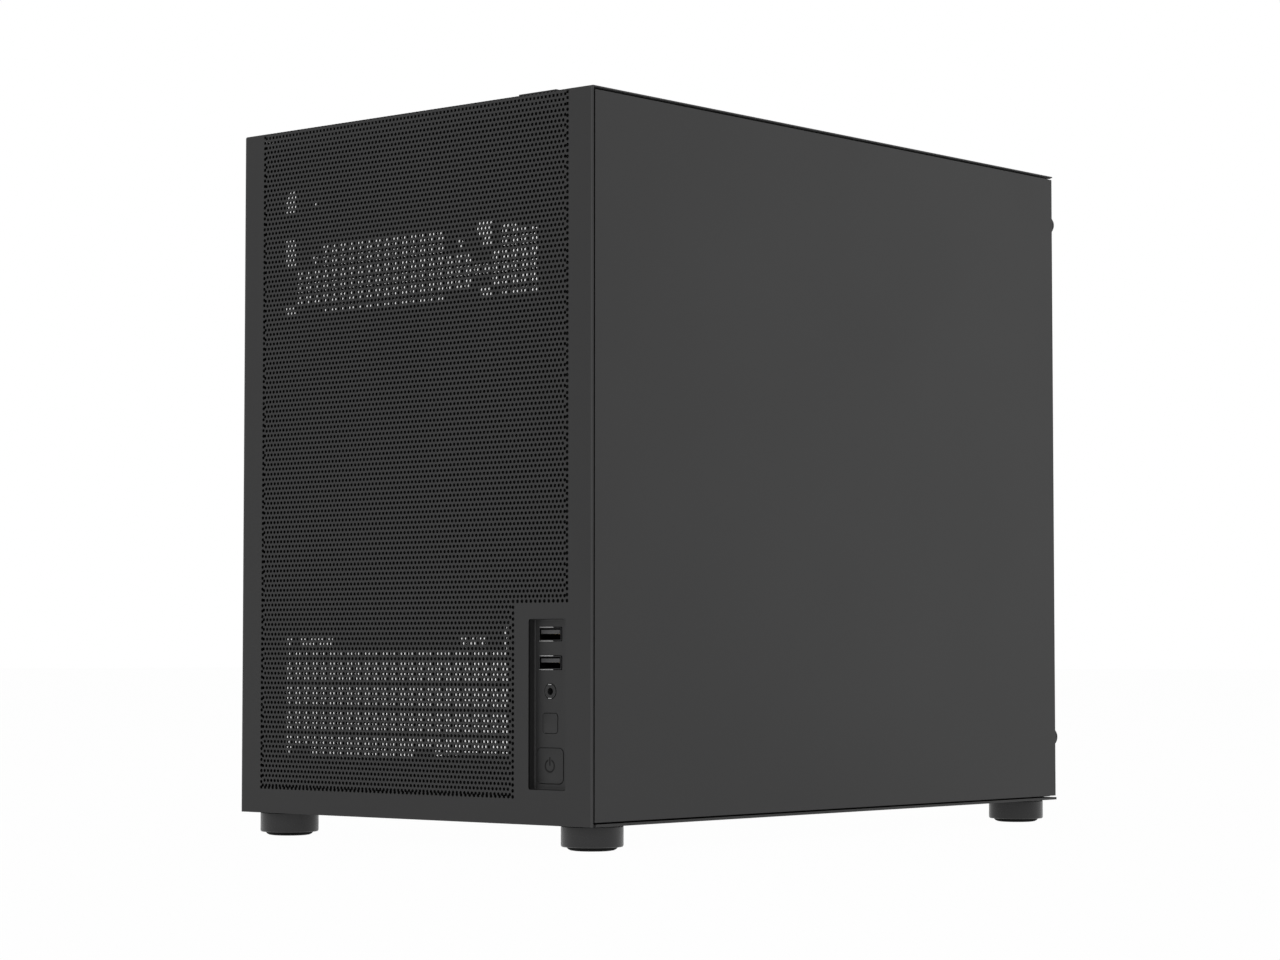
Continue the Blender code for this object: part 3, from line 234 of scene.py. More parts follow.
def smooth(piece, angle=30):
    take(piece)
    bpy.ops.object.shade_smooth_by_angle(angle=radians(angle))
    rest()


def copy_to(piece, name, shift):
    """A copy with its own mesh, moved in its mesh."""
    made = piece.copy()
    made.data = piece.data.copy()
    made.name = name
    bpy.context.scene.collection.objects.link(made)
    take(made)
    bpy.ops.transform.translate(value=shift)
    bpy.ops.object.transform_apply(location=True, rotation=False, scale=False)
    return made


def join(pieces, name):
    take(pieces[0])
    for piece in pieces:
        piece.select_set(True)
    bpy.ops.object.join()
    pieces[0].name = name
    rest()
    return pieces[0]


# Starting shapes

def slab(name, low, high):
    low, high = Vector(low), Vector(high)
    rest()
    bpy.ops.mesh.primitive_cube_add(size=1, location=(low + high) / 2)
    made = bpy.context.object
    made.name = name
    made.scale = high - low
    bpy.ops.object.transform_apply()
    return made


def plate(name, centre, width, height, front, back, corner, steps=5):
    """A slab in the front's plane with round upright corners."""
    x, z = centre
    made = slab(name, (x - width / 2, front, z - height / 2), (x + width / 2, back, z + height / 2))
    edit(made, "EDGE")
    pick(made, "edges", along(1))
    bpy.ops.mesh.bevel(offset=corner, segments=steps, affect="EDGES")
    rest()
    return made


def round_rim(piece, y, width, segments=3):
    """Rounds the edges of a piece's face at one depth."""
    edit(piece, "EDGE")
    pick(piece, "edges", at(1, y))
    bpy.ops.mesh.bevel(offset=width, segments=segments, affect="EDGES")
    rest()


def turned(name, centre, profile, axis=(0, 0, 1), sides=64):
    """A profile of (radius, height) points spun round an axis."""
    axis = Vector(axis)
    out = Vector((1, 0, 0)) if abs(axis.x) < 0.5 else Vector((0, 1, 0))
    points = [Vector(centre) + out * r + axis * h for r, h in profile]
    rest()
    bpy.ops.mesh.primitive_plane_add(size=0.001, location=points[0])
    made = bpy.context.object
    made.name = name
    bpy.ops.object.transform_apply()
    edit(made, "VERT")
    mark_all()
    bpy.ops.mesh.merge(type="CENTER")
    for near, far in zip(points, points[1:]):
        bpy.ops.mesh.extrude_vertices_move(TRANSFORM_OT_translate={"value": far - near})
    mark_all()
    bpy.ops.mesh.spin(steps=sides, angle=2 * pi, center=centre, axis=axis)
    mark_all()
    bpy.ops.mesh.remove_doubles(threshold=1e-6)
    bpy.ops.mesh.normals_make_consistent(inside=False)
    rest()
    return made


# Sheet metal: a flat blank with its holes, folded along one direction

class Fold:
    """The section of a folded sheet, read by the length along its outer face.

    A run is (where it starts, its length, its first point, its heading, its turn per metre).
    """

    def __init__(self, start, heading, steps=6):
        self.steps = steps
        self.runs = []
        self.point = Vector(start)
        self.heading = radians(heading)
        self.length = 0.0

    def straight(self, length):
        return self.run(length, 0.0)

    def bend(self, degrees, radius):
        length = abs(radians(degrees)) * radius
        return self.run(length, radians(degrees) / length)

    def run(self, length, turn):
        self.runs.append((self.length, length, self.point.copy(), self.heading, turn))
        self.length += length
        self.point = self.at(self.length)
        self.heading += turn * length
        return self

    def at(self, s):
        start, length, point, heading, turn = self.runs[-1]
        for run in self.runs:
            if s <= run[0] + run[1] + 1e-9:
                start, length, point, heading, turn = run
                break
        gone = s - start
        if not turn:
            return point + gone * Vector((cos(heading), sin(heading)))
        ahead = heading + turn * gone
        return point + Vector((sin(ahead) - sin(heading), cos(heading) - cos(ahead))) / turn

    def creases(self, low, high):
        found, steps = [], self.steps
        for start, length, _, _, turn in self.runs:
            if turn:
                found += [start + length * k / steps for k in range(steps + 1)]
        return [s for s in found if low + 1e-6 < s < high - 1e-6]


def disc(centre, radius, sides):
    turns = [2 * pi * (k + 0.5) / sides for k in range(sides)]
    return [(centre[0] + radius * cos(a), centre[1] + radius * sin(a)) for a in turns]


def window(centre, across, up, corner=0.0, steps=4):
    """A rectangle round a centre, with round corners when a radius is given."""
    if not corner:
        return [(centre[0] + i * across / 2, centre[1] + j * up / 2)
                for i, j in ((-1, -1), (1, -1), (1, 1), (-1, 1))]
    points = []
    for k, (i, j) in enumerate(((1, 1), (-1, 1), (-1, -1), (1, -1))):
        x = centre[0] + i * (across / 2 - corner)
        y = centre[1] + j * (up / 2 - corner)
        for step in range(steps + 1):
            a = pi / 2 * (k + step / steps)
            points.append((x + corner * cos(a), y + corner * sin(a)))
    return points


def in_yz(s, x, fold):
    return (x, *fold.at(s))


def in_xy(s, z, fold):
    return (*fold.at(s), z)


def in_xz(s, y, fold):
    x, z = fold.at(s)
    return (x, y, z)


def pressed(name, fold, place, thickness, outline, holes):
    """A sheet cut with its holes, folded, and given its thickness behind its outer face."""
    points, loops, creases = [], [], []
    for loop in [outline] + holes:
        loops.append(list(range(len(points), len(points) + len(loop))))
        points += loop
    low, high = min(p[0] for p in outline), max(p[0] for p in outline)
    near, far = min(p[1] for p in outline), max(p[1] for p in outline)
    for s in fold.creases(low, high):
        creases.append((len(points), len(points) + 1))
        points += [(s, near), (s, far)]
    spots = [Vector(p) for p in points]
    flat, _, faces, _, _, origins = delaunay_2d_cdt(spots, creases, loops, 1, 1e-7)
    kept = [face for face, origin in zip(faces, origins) if origin == [0]]
    used = {v: k for k, v in enumerate(sorted({v for face in kept for v in face}))}
    mesh = bpy.data.meshes.new(name)
    mesh.from_pydata([place(flat[v][0], flat[v][1], fold) for v in used], [],
                     [[used[v] for v in face] for face in kept])
    made = bpy.data.objects.new(name, mesh)
    bpy.context.scene.collection.objects.link(made)
    apply(made, "SOLIDIFY", thickness=thickness, offset=-1, use_even_offset=True)
    edit(made)
    mark_all()
    bpy.ops.mesh.normals_make_consistent(inside=False)
    rest()
    smooth(made)
    return made


# Finishes

def wired(tree, kind, settings, inputs):
    """Adds a node: its settings first, then its sockets' values or links."""
    made = tree.nodes.new(kind)
    for key, value in settings.items():
        setattr(made, key, value)
    for key, value in inputs.items():
        if isinstance(value, bpy.types.NodeSocket):
            tree.links.new(value, made.inputs[key])
        else:
            made.inputs[key].default_value = value
    return made


class Value:
    """A number on a shader socket. Arithmetic on it adds Math nodes."""

    def __init__(self, finish, socket):
        self.finish = finish
        self.socket = socket

    def math(self, operation, first, second=0.0):
        return self.finish.node("ShaderNodeMath", {"operation": operation}, {0: first, 1: second})

    def __add__(self, other):
        return self.math("ADD", self, other)

    def __sub__(self, other):
        return self.math("SUBTRACT", self, other)

    def __rsub__(self, other):
        return self.math("SUBTRACT", other, self)

    def __mul__(self, other):
        return self.math("MULTIPLY", self, other)

    __radd__ = __add__
    __rmul__ = __mul__

    def __gt__(self, other):
        return self.math("GREATER_THAN", self, other)

    def __lt__(self, other):
        return self.math("LESS_THAN", self, other)

    def least(self, other):
        return self.math("MAXIMUM", self, other)

    def root(self):
        return self.math("SQRT", self)

    def between(self, low, high):
        """0 below low, 1 above high and smooth in between."""
        settings = {"interpolation_type": "SMOOTHSTEP"}
        return self.finish.node("ShaderNodeMapRange", settings, {0: self, 1: low, 2: high})


class Finish:
    """A material: its Principled shader, and the nodes that vary it."""

    def __init__(self, name, colour, roughness, metallic=0.0, **fixed):
        self.made = bpy.data.materials.new(name)
        self.made.use_nodes = True
        self.tree = self.made.node_tree
        self.shader = self.tree.nodes["Principled BSDF"]
        self.colour = colour
        self.shader.inputs["Base Color"].default_value = (*colour, 1.0)
        self.shader.inputs["Roughness"].default_value = roughness
        self.shader.inputs["Metallic"].default_value = metallic
        for key, value in fixed.items():
            self.shader.inputs[key.replace("_", " ")].default_value = value
        self.place = self.node("ShaderNodeTexCoord", {}, {}, "Object")

    def node(self, kind, settings, inputs, out=0):
        sources = {k: v.socket if isinstance(v, Value) else v for k, v in inputs.items()}
        return Value(self, wired(self.tree, kind, settings, sources).outputs[out])

    def feed(self, socket, value):
        self.tree.links.new(value.socket, self.shader.inputs[socket])

    def stretched(self, scale):
        return self.node("ShaderNodeMapping", {}, {"Vector": self.place, "Scale": scale})

    def noise(self, scale, detail=2.0, stretch=None):
        place = self.stretched(stretch) if stretch else self.place
        values = {"Vector": place, "Scale": scale, "Detail": detail}
        return self.node("ShaderNodeTexNoise", {}, values)

    def cells(self, scale):
        return self.node("ShaderNodeTexVoronoi", {}, {"Vector": self.place, "Scale": scale})

    def mix(self, amount, first, second):
        """A colour between two others."""
        values = {0: amount, 6: (*first, 1.0), 7: (*second, 1.0)}
        return self.node("ShaderNodeMix", {"data_type": "RGBA"}, values, 2)

    def shaded(self, amount, darker, lighter):
        """The base colour, between two shares of itself."""
        colours = [[channel * share for channel in self.colour] for share in (darker, lighter)]
        return self.mix(amount, *colours)

    def tint(self, amount, darker, lighter):
        self.feed("Base Color", self.shaded(amount, darker, lighter))

    def part(self, axis):
        return self.node("ShaderNodeSeparateXYZ", {}, {0: self.place}, axis)

    def below_skin(self):
        """How deep a point lies under the outer face of the folded front and top."""
        bend = SHELL_BEND
        ahead = (FRONT_Y + bend - self.part(1)).least(0.0)
        above = (self.part(2) - (TOP_Z - bend)).least(0.0)
        return bend - (ahead * ahead + above * above).root()

    def off_edges(self):
        """0 on the cut edges of the folded front and top, 1 elsewhere."""
        slack = 0.0001
        return (self.part(1) < REAR_Y - slack) * (self.part(2) > BODY_Z + slack)

    def bump(self, *layers):
        """Feeds the normal with layers of (height, depth in metres)."""
        values = {}
        for height, depth in layers:
            values = {"Height": height, "Distance": depth, "Strength": 1.0, **values}
            values = {"Normal": self.node("ShaderNodeBump", {}, values)}
        self.feed("Normal", values["Normal"])


def powder_coat(name="powder_coat", pale=1.0, punched=False):
    """Matt black powder coat: a faint orange peel, fine grain and uneven cover.

    A punched coat has painted shade: it goes near black on the walls of its holes and on its inner
    face.
    """
    # A pale share above 1 lightens the whole coat; the rolled edges use it as a painted highlight.
    finish = Finish(name, [pale * channel for channel in (0.045, 0.045, 0.0455)], 0.55)
    cover = finish.noise(11.0, 3.0)
    grain = finish.noise(2600.0, 2.0)
    peel = finish.noise(520.0, 2.0)
    mottle = cover * 0.6 + grain * 0.4
    outer = finish.shaded(mottle, 0.88, 1.12)
    if punched:
        # Painted shade: near black below the outer face, on the hole walls and the inner face, but
        # not on the cut edges.
        hole_shade = finish.below_skin().between(0.00004, 0.0003) * finish.off_edges()
        values = {0: hole_shade, 6: outer, 7: (0.010, 0.010, 0.010, 1.0)}
        outer = finish.node("ShaderNodeMix", {"data_type": "RGBA"}, values, 2)
    finish.feed("Base Color", outer)
    finish.feed("Roughness", 0.47 + cover * 0.08 + grain * 0.10)
    finish.bump((peel, 0.000010), (grain, 0.000008))
    return finish.made


def chassis_paint():
    """Satin black paint over rolled steel."""
    finish = Finish("chassis_paint", (0.018, 0.018, 0.0185), 0.5)
    cover = finish.noise(18.0, 4.0)
    grain = finish.noise(1800.0, 2.0)
    finish.tint(cover * 0.7 + grain * 0.3, 0.85, 1.15)
    finish.feed("Roughness", 0.38 + cover * 0.16)
    finish.bump((grain, 0.000010))
    return finish.made


def moulded(name, colour, roughness, spark, bloom=0.0):
    """Moulded plastic with a spark-eroded skin, paler at a flat angle by its bloom."""
    finish = Finish(name, colour, roughness, Sheen_Weight=bloom, Sheen_Roughness=0.25)
    skin = finish.noise(spark, 3.0)
    flow = finish.noise(60.0, 2.0)
    finish.tint(flow * 0.5 + skin * 0.5, 0.9, 1.1)
    finish.feed("Roughness", roughness - 0.06 + skin * 0.12)
    finish.bump((skin, 0.000012))
    return finish.made


def pad_rubber():
    finish = Finish("pad_rubber", (0.009, 0.009, 0.009), 0.85, Specular_IOR_Level=0.15)
    dust = finish.noise(140.0, 4.0)
    grain = finish.noise(1500.0, 2.0)
    finish.tint(dust, 0.8, 1.5)
    finish.feed("Roughness", 0.72 + dust * 0.2)
    finish.bump((grain, 0.00003))
    return finish.made


def plated_metal(name, colour, roughness, stretch):
    """Plated or turned metal with fine drawn lines."""
    finish = Finish(name, colour, roughness, 1.0)
    lines = finish.noise(900.0, 2.0, stretch)
    stain = finish.noise(160.0, 3.0)
    finish.tint(stain, 0.85, 1.08)
    finish.feed("Roughness", roughness - 0.06 + lines * 0.08 + stain * 0.08)
    finish.bump((lines, 0.000004))
    return finish.made


def black_zinc():
    finish = Finish("black_zinc", (0.055, 0.055, 0.058), 0.38, 0.75)
    stain = finish.noise(700.0, 3.0)
    finish.tint(stain, 0.75, 1.25)
    finish.feed("Roughness", 0.30 + stain * 0.16)
    finish.bump((stain, 0.000006))
    return finish.made


def pane_glass():
    """Clear polished glass with dark ground edges, that reflects more at a flat angle."""
    finish = Finish("pane_glass", (0.030, 0.040, 0.038), 0.03)
    slant = finish.node("ShaderNodeLayerWeight", {}, {"Blend": 0.5}, "Facing")
    haze = finish.noise(9.0, 3.0)
    length, height = finish.part(1), finish.part(2)
    inside = (length > PANE_FRONT) * (length < PANE_REAR)
    inside = inside * (height > PANE_LOW) * (height < PANE_HIGH)
    clear, ground = 0.06 + slant * slant * slant * 0.7, 0.9
    finish.feed("Alpha", ground + (clear - ground) * inside)
    finish.feed("Roughness", 0.02 + haze * 0.03)
    return finish.made


def filter_cloth():
    """A matt magnetic sheet with a woven grain."""
    finish = Finish("filter_sheet", (0.030, 0.030, 0.030), 0.7)
    weave = finish.cells(2400.0)
    cover = finish.noise(30.0, 3.0)
    finish.tint(cover, 0.85, 1.2)
    finish.feed("Roughness", 0.62 + cover * 0.15)
    finish.bump((weave, 0.00002))
    return finish.made


def solder_mask():
    """A green board with tracks under its mask."""
    finish = Finish("solder_mask", (0.010, 0.050, 0.030), 0.35)
    values = {"Vector": finish.place, "Scale": 320.0, "Mortar Size": 0.12}
    tracks = finish.node("ShaderNodeTexBrick", {}, values)
    raised = finish.noise(420.0, 1.0).between(0.48, 0.54)
    finish.tint(raised, 0.7, 1.5)
    finish.feed("Roughness", 0.28 + tracks * 0.1)
    finish.bump((raised, 0.00002))
    return finish.made


def contact_gold():
    finish = Finish("contact_gold", (0.75, 0.55, 0.25), 0.25, 1.0)
    stain = finish.noise(900.0, 2.0)
    finish.tint(stain, 0.85, 1.1)
    finish.feed("Roughness", 0.2 + stain * 0.1)
    return finish.made


COAT = powder_coat()
MESH = powder_coat("punched_coat", punched=True)
# Painted highlight: a paler coat for the rolled side edges of the front and top.
EDGE_HIGHLIGHT_COAT = powder_coat("edge_highlight_coat", pale=1.75)
STEEL = chassis_paint()
PLASTIC = moulded("bezel_plastic", (0.040, 0.040, 0.0405), 0.48, 1900.0)
TONGUE = moulded("tongue_plastic", (0.115, 0.115, 0.118), 0.42, 1500.0)
FOOT = moulded("foot_plastic", (0.022, 0.022, 0.023), 0.26, 1200.0, bloom=1.0)
# Near-black plastic: the print round the glass, and painted shade in the power mark's groove.
BLACK_PRINT_AND_SHADE = moulded("print_and_shade_black", (0.004, 0.004, 0.004), 0.75, 1900.0)
RUBBER = pad_rubber()
BRIGHT = plated_metal("plated_steel", (0.62, 0.62, 0.62), 0.28, (1.0, 1.0, 6.0))
# Painted shade: a dark metal for the USB shells, so their openings read black; their lips stay
# bright.
SOCKET_SHADE_STEEL = plated_metal("socket_shade_steel", (0.075, 0.075, 0.077), 0.45, (1.0, 1.0, 6.0))
BRASS = plated_metal("turned_brass", (0.60, 0.42, 0.16), 0.34, (6.0, 1.0, 1.0))
ZINC = black_zinc()
GLASS = pane_glass()
FILTER = filter_cloth()
BOARD = solder_mask()
GOLD = contact_gold()

NODE_FINISHES = {
    "black_powder_coat": COAT,
    "black_steel": STEEL,
    "black_plastic": PLASTIC,
    "black_rubber": RUBBER,
    "bright_metal": BRIGHT,
    "clear_glass": GLASS,
    "filter_sheet": FILTER,
    "brass": BRASS,
    "circuit_board": BOARD,
}


def keep(piece, body, look, *nodes):
    """A finished piece: its finish, the body it rides on and the nodes it stands for."""
    piece.data.materials.clear()
    piece.data.materials.append(look)
    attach(piece, body)
    if nodes:
        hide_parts(*nodes)


# The folded front and top

def row_of(low, high, pitch):
    """Evenly spread places from low to high, near a pitch."""
    count = round((high - low) / pitch)
    return [low + (high - low) * k / count for k in range(count + 1)]


def edge_holes(length):
    """Centres of the larger holes that border the field, as (length along the blank, x)."""
    rear = length - FIELD_REAR
    spots = [(s, FIELD_LEFT) for s in row_of(FIELD_BOTTOM, rear, EDGE_HOLE_PITCH)]
    spots += [(FIELD_BOTTOM, x) for x in row_of(FIELD_LEFT, COLUMN_LEFT, EDGE_HOLE_PITCH)[1:]]
    spots += [(s, COLUMN_LEFT) for s in row_of(FIELD_BOTTOM, COLUMN_TOP, EDGE_HOLE_PITCH)[1:]]
    spots += [(COLUMN_TOP, x) for x in row_of(COLUMN_LEFT, FIELD_RIGHT, EDGE_HOLE_PITCH)[1:]]
    spots += [(s, FIELD_RIGHT) for s in row_of(COLUMN_TOP, rear, EDGE_HOLE_PITCH)[1:]]
    spots += [(rear, x) for x in row_of(FIELD_LEFT, FIELD_RIGHT, EDGE_HOLE_PITCH)[1:-1]]
    return spots


def field_holes(length):
    """Centres of the staggered holes inside the border."""
    near, clear, spots = 0.0009, 0.0008, []
    rows, columns = int((length - FIRST_ROW) / HOLE_ROW) + 1, int(HALF / HOLE_PITCH) + 1
    for j in range(rows):
        s = FIRST_ROW + j * HOLE_ROW
        if not FIELD_BOTTOM + clear < s < length - FIELD_REAR - clear:
            continue
        right = COLUMN_LEFT if s < COLUMN_TOP + clear else FIELD_RIGHT
        for i in range(-columns, columns):
            x = FIRST_COLUMN + (i + (j % 2) / 2) * HOLE_PITCH
            if FIELD_LEFT + near < x < right - near:
                spots.append((s, x))
    return spots


def between_rows(s):
    """The place nearest to s that lies midway between two rows of staggered holes."""
    return FIRST_ROW + (round((s - FIRST_ROW) / HOLE_ROW) + 0.5) * HOLE_ROW


def on_skin(edge, slack=0.0002):
    """Whether an edge of the folded front and top lies on their outer face."""
    def deep(v):
        ahead = max(FRONT_Y + SHELL_BEND - v.co.y, 0.0)
        above = max(v.co.z - TOP_Z + SHELL_BEND, 0.0)
        return (ahead * ahead + above * above) ** 0.5 < SHELL_BEND - slack
    return not any(deep(v) for v in edge.verts)


def folded_front():
    """The front and the top in pieces between rows of holes, so that no piece is too heavy."""
    bend = SHELL_BEND
    fold = Fold((FRONT_Y, BODY_Z), 90, 2).straight(TOP_Z - BODY_Z - bend).bend(-90, bend)
    fold.straight(REAR_Y - FRONT_Y - bend)
    edge = HALF - ROLL_WIDTH
    cuts = [0.0, *[between_rows(s) for s in MESH_JOINTS], fold.length]
    names = ("front_mesh_lower", "front_mesh_middle", "front_mesh_upper",
             "top_mesh_front", "top_mesh_rear")
    edges = [(spot, EDGE_HOLE_RADIUS) for spot in edge_holes(fold.length)]
    centres = edges + [(spot, HOLE_RADIUS) for spot in field_holes(fold.length)]
    recess = window((RECESS_Z - BODY_Z, RECESS_X), RECESS_HEIGHT, RECESS_WIDTH, RECESS_CORNER)
    for k, name in enumerate(names):
        low, high = cuts[k], cuts[k + 1]
        sides, spread = (8, 1.0) if name.startswith("front") else (4, SQUARE_SPREAD)
        holes = [recess] if k == 0 else []
        holes += [disc(spot, radius * spread, sides)
                  for spot, radius in centres if low < spot[0] < high]
        outline = [(low, -edge), (high, -edge), (high, edge), (low, edge)]
        made = pressed(name, fold, in_yz, -MESH_SHEET, outline, holes)
        keep(made, "case", MESH, "front_top_shell")
    for side, name in ((-1, "left"), (1, "right")):
        near, far = sorted((side * edge, side * HALF))
        strip = [(0.0, near), (fold.length, near), (fold.length, far), (0.0, far)]
        roll = pressed("shell_roll_" + name, fold, in_yz, -ROLL_SHEET, strip, [])
        rim = at(0, side * HALF)
        edit(roll, "EDGE")
        mark_all()
        bpy.ops.mesh.dissolve_limited(angle_limit=radians(1))
        mark_all("DESELECT")
        pick(roll, "edges", lambda e: on_skin(e) and rim(e) and sum(map(rim, e.link_faces)) == 1)
        bpy.ops.mesh.bevel(offset=ROLL_ROUND, segments=4, affect="EDGES", clamp_overlap=True)
        rest()
        smooth(roll)
        # The rolled edges take the paler coat as a painted highlight.
        keep(roll, "case", EDGE_HIGHLIGHT_COAT)


# Chassis walls

def end_wall(start, heading, flange):
    """An upright end wall with side flanges: its fold, its middle along the blank, its outline."""
    bend = BEND + THIN_SHEET
    fold = Fold(start, heading).straight(flange - bend).bend(90, bend)
    flat = fold.length
    fold.straight(2 * CHASSIS_X - 2 * bend).bend(90, bend).straight(flange - bend)
    low, high = FLOOR_Z + SEAT, ROOF_Z - SEAT
    short_low, short_high = low + SIDE_FLANGE, high - SIDE_FLANGE
    far, end = fold.length - flat, fold.length
    outline = [
        (0.0, short_low), (flat, short_low), (flat, low),
        (far, low), (far, short_low), (end, short_low),
        (end, short_high), (far, short_high), (far, high),
        (flat, high), (flat, short_high), (0.0, short_high),
    ]
    return fold, end / 2, outline


def vent_spots():
    """The square vents of the inner front wall, as (x, z, width, height)."""
    usual, spots = (VENT_WIDTH, VENT_HEIGHT), []
    wide, narrow = [*range(20), *range(22, 27)], [*range(3, 17), *range(23, 27)]
    rows = ((0.25128, wide), (0.25708, range(27)), (0.26278, wide), (0.26858, narrow),
            (0.27428, narrow))
    for z, columns in rows:
        spots += [(UPPER_VENTS_X + k * VENT_PITCH, z, *usual) for k in columns]
    spots += [(UPPER_VENTS_X + k * VENT_PITCH, 0.24628, VENT_WIDTH, 0.0024) for k in narrow]
    for k in range(25):
        x = LOWER_VENTS_X + k * VENT_PITCH
        spots.append((x, 0.08483, VENT_WIDTH, 0.0026))
        spots += [(x, LOWER_VENTS_Z - j * VENT_PITCH, *usual) for j in range(1, 8)]
        if k not in (1, 2, 15, 16):
            lost = 0.0011 if k > 17 else 0.0
            spots.append((x, 0.03947 + lost, VENT_WIDTH, VENT_HEIGHT - 2 * lost))
    for x in (-0.0908, -0.0811, -0.0753, -0.0696, -0.0638, 0.0224, 0.0282, 0.0339):
        spots.append((x, 0.08998, *usual))
    spots.append((0.0478, 0.09208, 0.0024, 0.0111))
    return spots


def inner_wall():
    """The chassis front behind the perforated sheet, with its square vents and fan slots."""
    fold, centre, outline = end_wall((-CHASSIS_X, WALL_Y + INNER_FLANGE), -90, INNER_FLANGE)
    holes = [window((centre + x, z), across, up) for x, z, across, up in vent_spots()]
    for z, length in ((0.2466, 0.0036), (0.2741, 0.0124), (0.2985, 0.0102)):
        holes.append(window((centre - 0.0911, z), 0.0076, length))
    slot = ((0.0297, 0.2717), (0.0334, 0.2717), (0.0334, 0.2679), (0.0396, 0.2679),
            (0.0396, 0.2793), (0.0297, 0.2793))
    low_slot = ((0.0340, 0.2448), (0.0396, 0.2448), (0.0396, 0.2484), (0.0315, 0.2484))
    for points in (slot, low_slot):
        holes.append([(centre + x, z) for x, z in points])
    for x, z, radius in ((-0.0748, 0.2698, 0.0020), (0.0196, 0.2698, 0.0020),
                         (-0.0745, 0.2963, 0.0012)):
        holes.append(disc((centre + x, z), radius, 12))
    wall = 2 * (BEZEL_WALL + SEAT)
    holes.append(window((centre + RECESS_X, RECESS_Z), RECESS_WIDTH + wall, RECESS_HEIGHT + wall))
    made = pressed("inner_vent_wall", fold, in_xy, INNER_SHEET, outline, holes)
    keep(made, "case", STEEL, "inner_front_wall")


def rear_sheet():
    """The rear wall with its honeycomb vent, port cut-out, card slots and inlet cut-out.

    Its blank runs from right to left, so places on it are at the middle minus x.
    """
    fold, centre, outline = end_wall((CHASSIS_X, REAR_WALL_Y - POST_FLANGE), 90, POST_FLANGE)
    holes = [window((centre - 0.05275, 0.2121), 0.0445, 0.1588)]
    vent, reach, pitch, cell, margin = (centre + 0.03975, 0.235), 0.0570, 0.0056, 0.0026, 0.0024
    ranks = range(-12, 13)
    for j in ranks:
        for i in ranks:
            dx, dz = (i + (j % 2) / 2) * pitch, j * pitch * cos(pi / 6)
            if (dx * dx + dz * dz) ** 0.5 + margin < reach:
                holes.append(disc((vent[0] + dx, vent[1] + dz), cell, 6))
    fan = 0.0525
    for dx in (-fan, fan):
        for dz in (-fan, fan):
            holes.append(disc((vent[0] + dx, vent[1] + dz), 0.0022, 24))
    for z in CARD_SLOTS:
        holes.append(window((centre - 0.0230, z), 0.1080, 0.0127))
    holes.append(window((centre - INLET[0], INLET[1]), 0.0202, 0.0278))
    for side in (-1, 1):
        for z in SCREW_HEIGHTS.values():
            holes.append(disc((centre + side * SCREW_X, z), SCREW_HOLE_RADIUS, 24))
    made = pressed("rear_vent_wall", fold, in_xy, THIN_SHEET, outline, holes)
    keep(made, "case", STEEL, "rear_wall")


def solid_side():
    """The solid side panel with its rear flange, its front lip and thin black strips in the gaps
    round it, which are painted shade.
    """
    bend, front = PANEL_BEND, FRONT_Y + ROLL_SHEET + PANEL_GAP
    fold = Fold((HALF, front), 90).straight(REAR_Y - front - bend).bend(90, bend)
    spot = fold.length + (HALF - bend - SCREW_X)
    fold.straight(PANEL_FLANGE - bend)
    holes = [disc((spot, z), SCREW_HOLE_RADIUS, 24) for z in SCREW_HEIGHTS.values()]
    outline = [(0.0, PANEL_LOW), (fold.length, PANEL_LOW),
               (fold.length, PANEL_HIGH), (0.0, PANEL_HIGH)]
    made = pressed("solid_side_panel", fold, in_xy, THIN_SHEET, outline, holes)
    keep(made, "right_side", COAT, "right_panel")
    # Painted shade: thin black rubber strips on the panel's front, lower and upper edges make its
    # gaps read black.
    skin, inner, outer, rear = 0.00018, HALF - 0.0052, HALF - 0.00006, REAR_Y - 0.006
    shade_strips = [
        slab("side_shade_strip", (inner, front - skin, PANEL_LOW), (outer, front, PANEL_HIGH)),
        slab("side_shade_strip", (inner, front, PANEL_LOW - skin), (outer, rear, PANEL_LOW)),
        slab("side_shade_strip", (inner, front, PANEL_HIGH), (outer, rear, PANEL_HIGH + skin)),
    ]
    keep(join(shade_strips, "side_panel_shade_strips"), "right_side", RUBBER)
    corner = (HALF - THIN_SHEET, front + THIN_SHEET, PANEL_HIGH)
    keep(slab("side_panel_lip", (inner, front, PANEL_LOW), corner), "right_side", STEEL)


def glass_border():
    """The black band printed inside the glass, over its steel frame."""
    length, height = PANE_REAR - PANE_FRONT, PANE_HIGH - PANE_LOW
    fold = Fold((PANE_FACE + 0.00005, PANE_FRONT), 90).straight(length)
    outline = [(0.0, PANE_LOW), (length, PANE_LOW), (length, PANE_HIGH), (0.0, PANE_HIGH)]
    centre = (length / 2, PANE_LOW + height / 2)
    hole = window(centre, length - 2 * PANE_BAND, height - 2 * PANE_BAND, PANE_BAND_CORNER, 8)
    made = pressed("glass_border", fold, in_xy, -PANE_PRINT, outline, [hole])
    keep(made, "left_side", BLACK_PRINT_AND_SHADE)


def dust_filter():
    """The magnetic sheet on the top: a plain border round a fine square mesh, with a pull tab."""
    side, front, back = 0.096, FRONT_Y + 0.016, REAR_Y - 0.016
    tab_left, tab_right, tab_front = 0.0645, 0.0865, FRONT_Y + 0.0024
    top, sheet, pitch, opening = 0.3309, 0.0006, 0.0031, 0.0021
    outline = [
        (-side, front), (tab_left, front), (tab_left, tab_front), (tab_right, tab_front),
        (tab_right, front), (side, front), (side, back), (-side, back),
    ]
    holes, columns, rows, bar = [], 28, 48, 1
    for i in range(-columns, columns + 1):
        for j in range(-rows, rows + 1):
            if abs(j) > bar:
                spot = (HALF + i * pitch, (front + back) / 2 + j * pitch)
                holes.append(window(spot, opening, opening))
    fold = Fold((-HALF, top), 0).straight(2 * HALF)
    outline = [(HALF + x, y) for x, y in outline]
    made = pressed("filter_mesh", fold, in_xz, sheet, outline, holes)
    keep(made, "case", FILTER, "top_dust_filter")


# Feet and screws

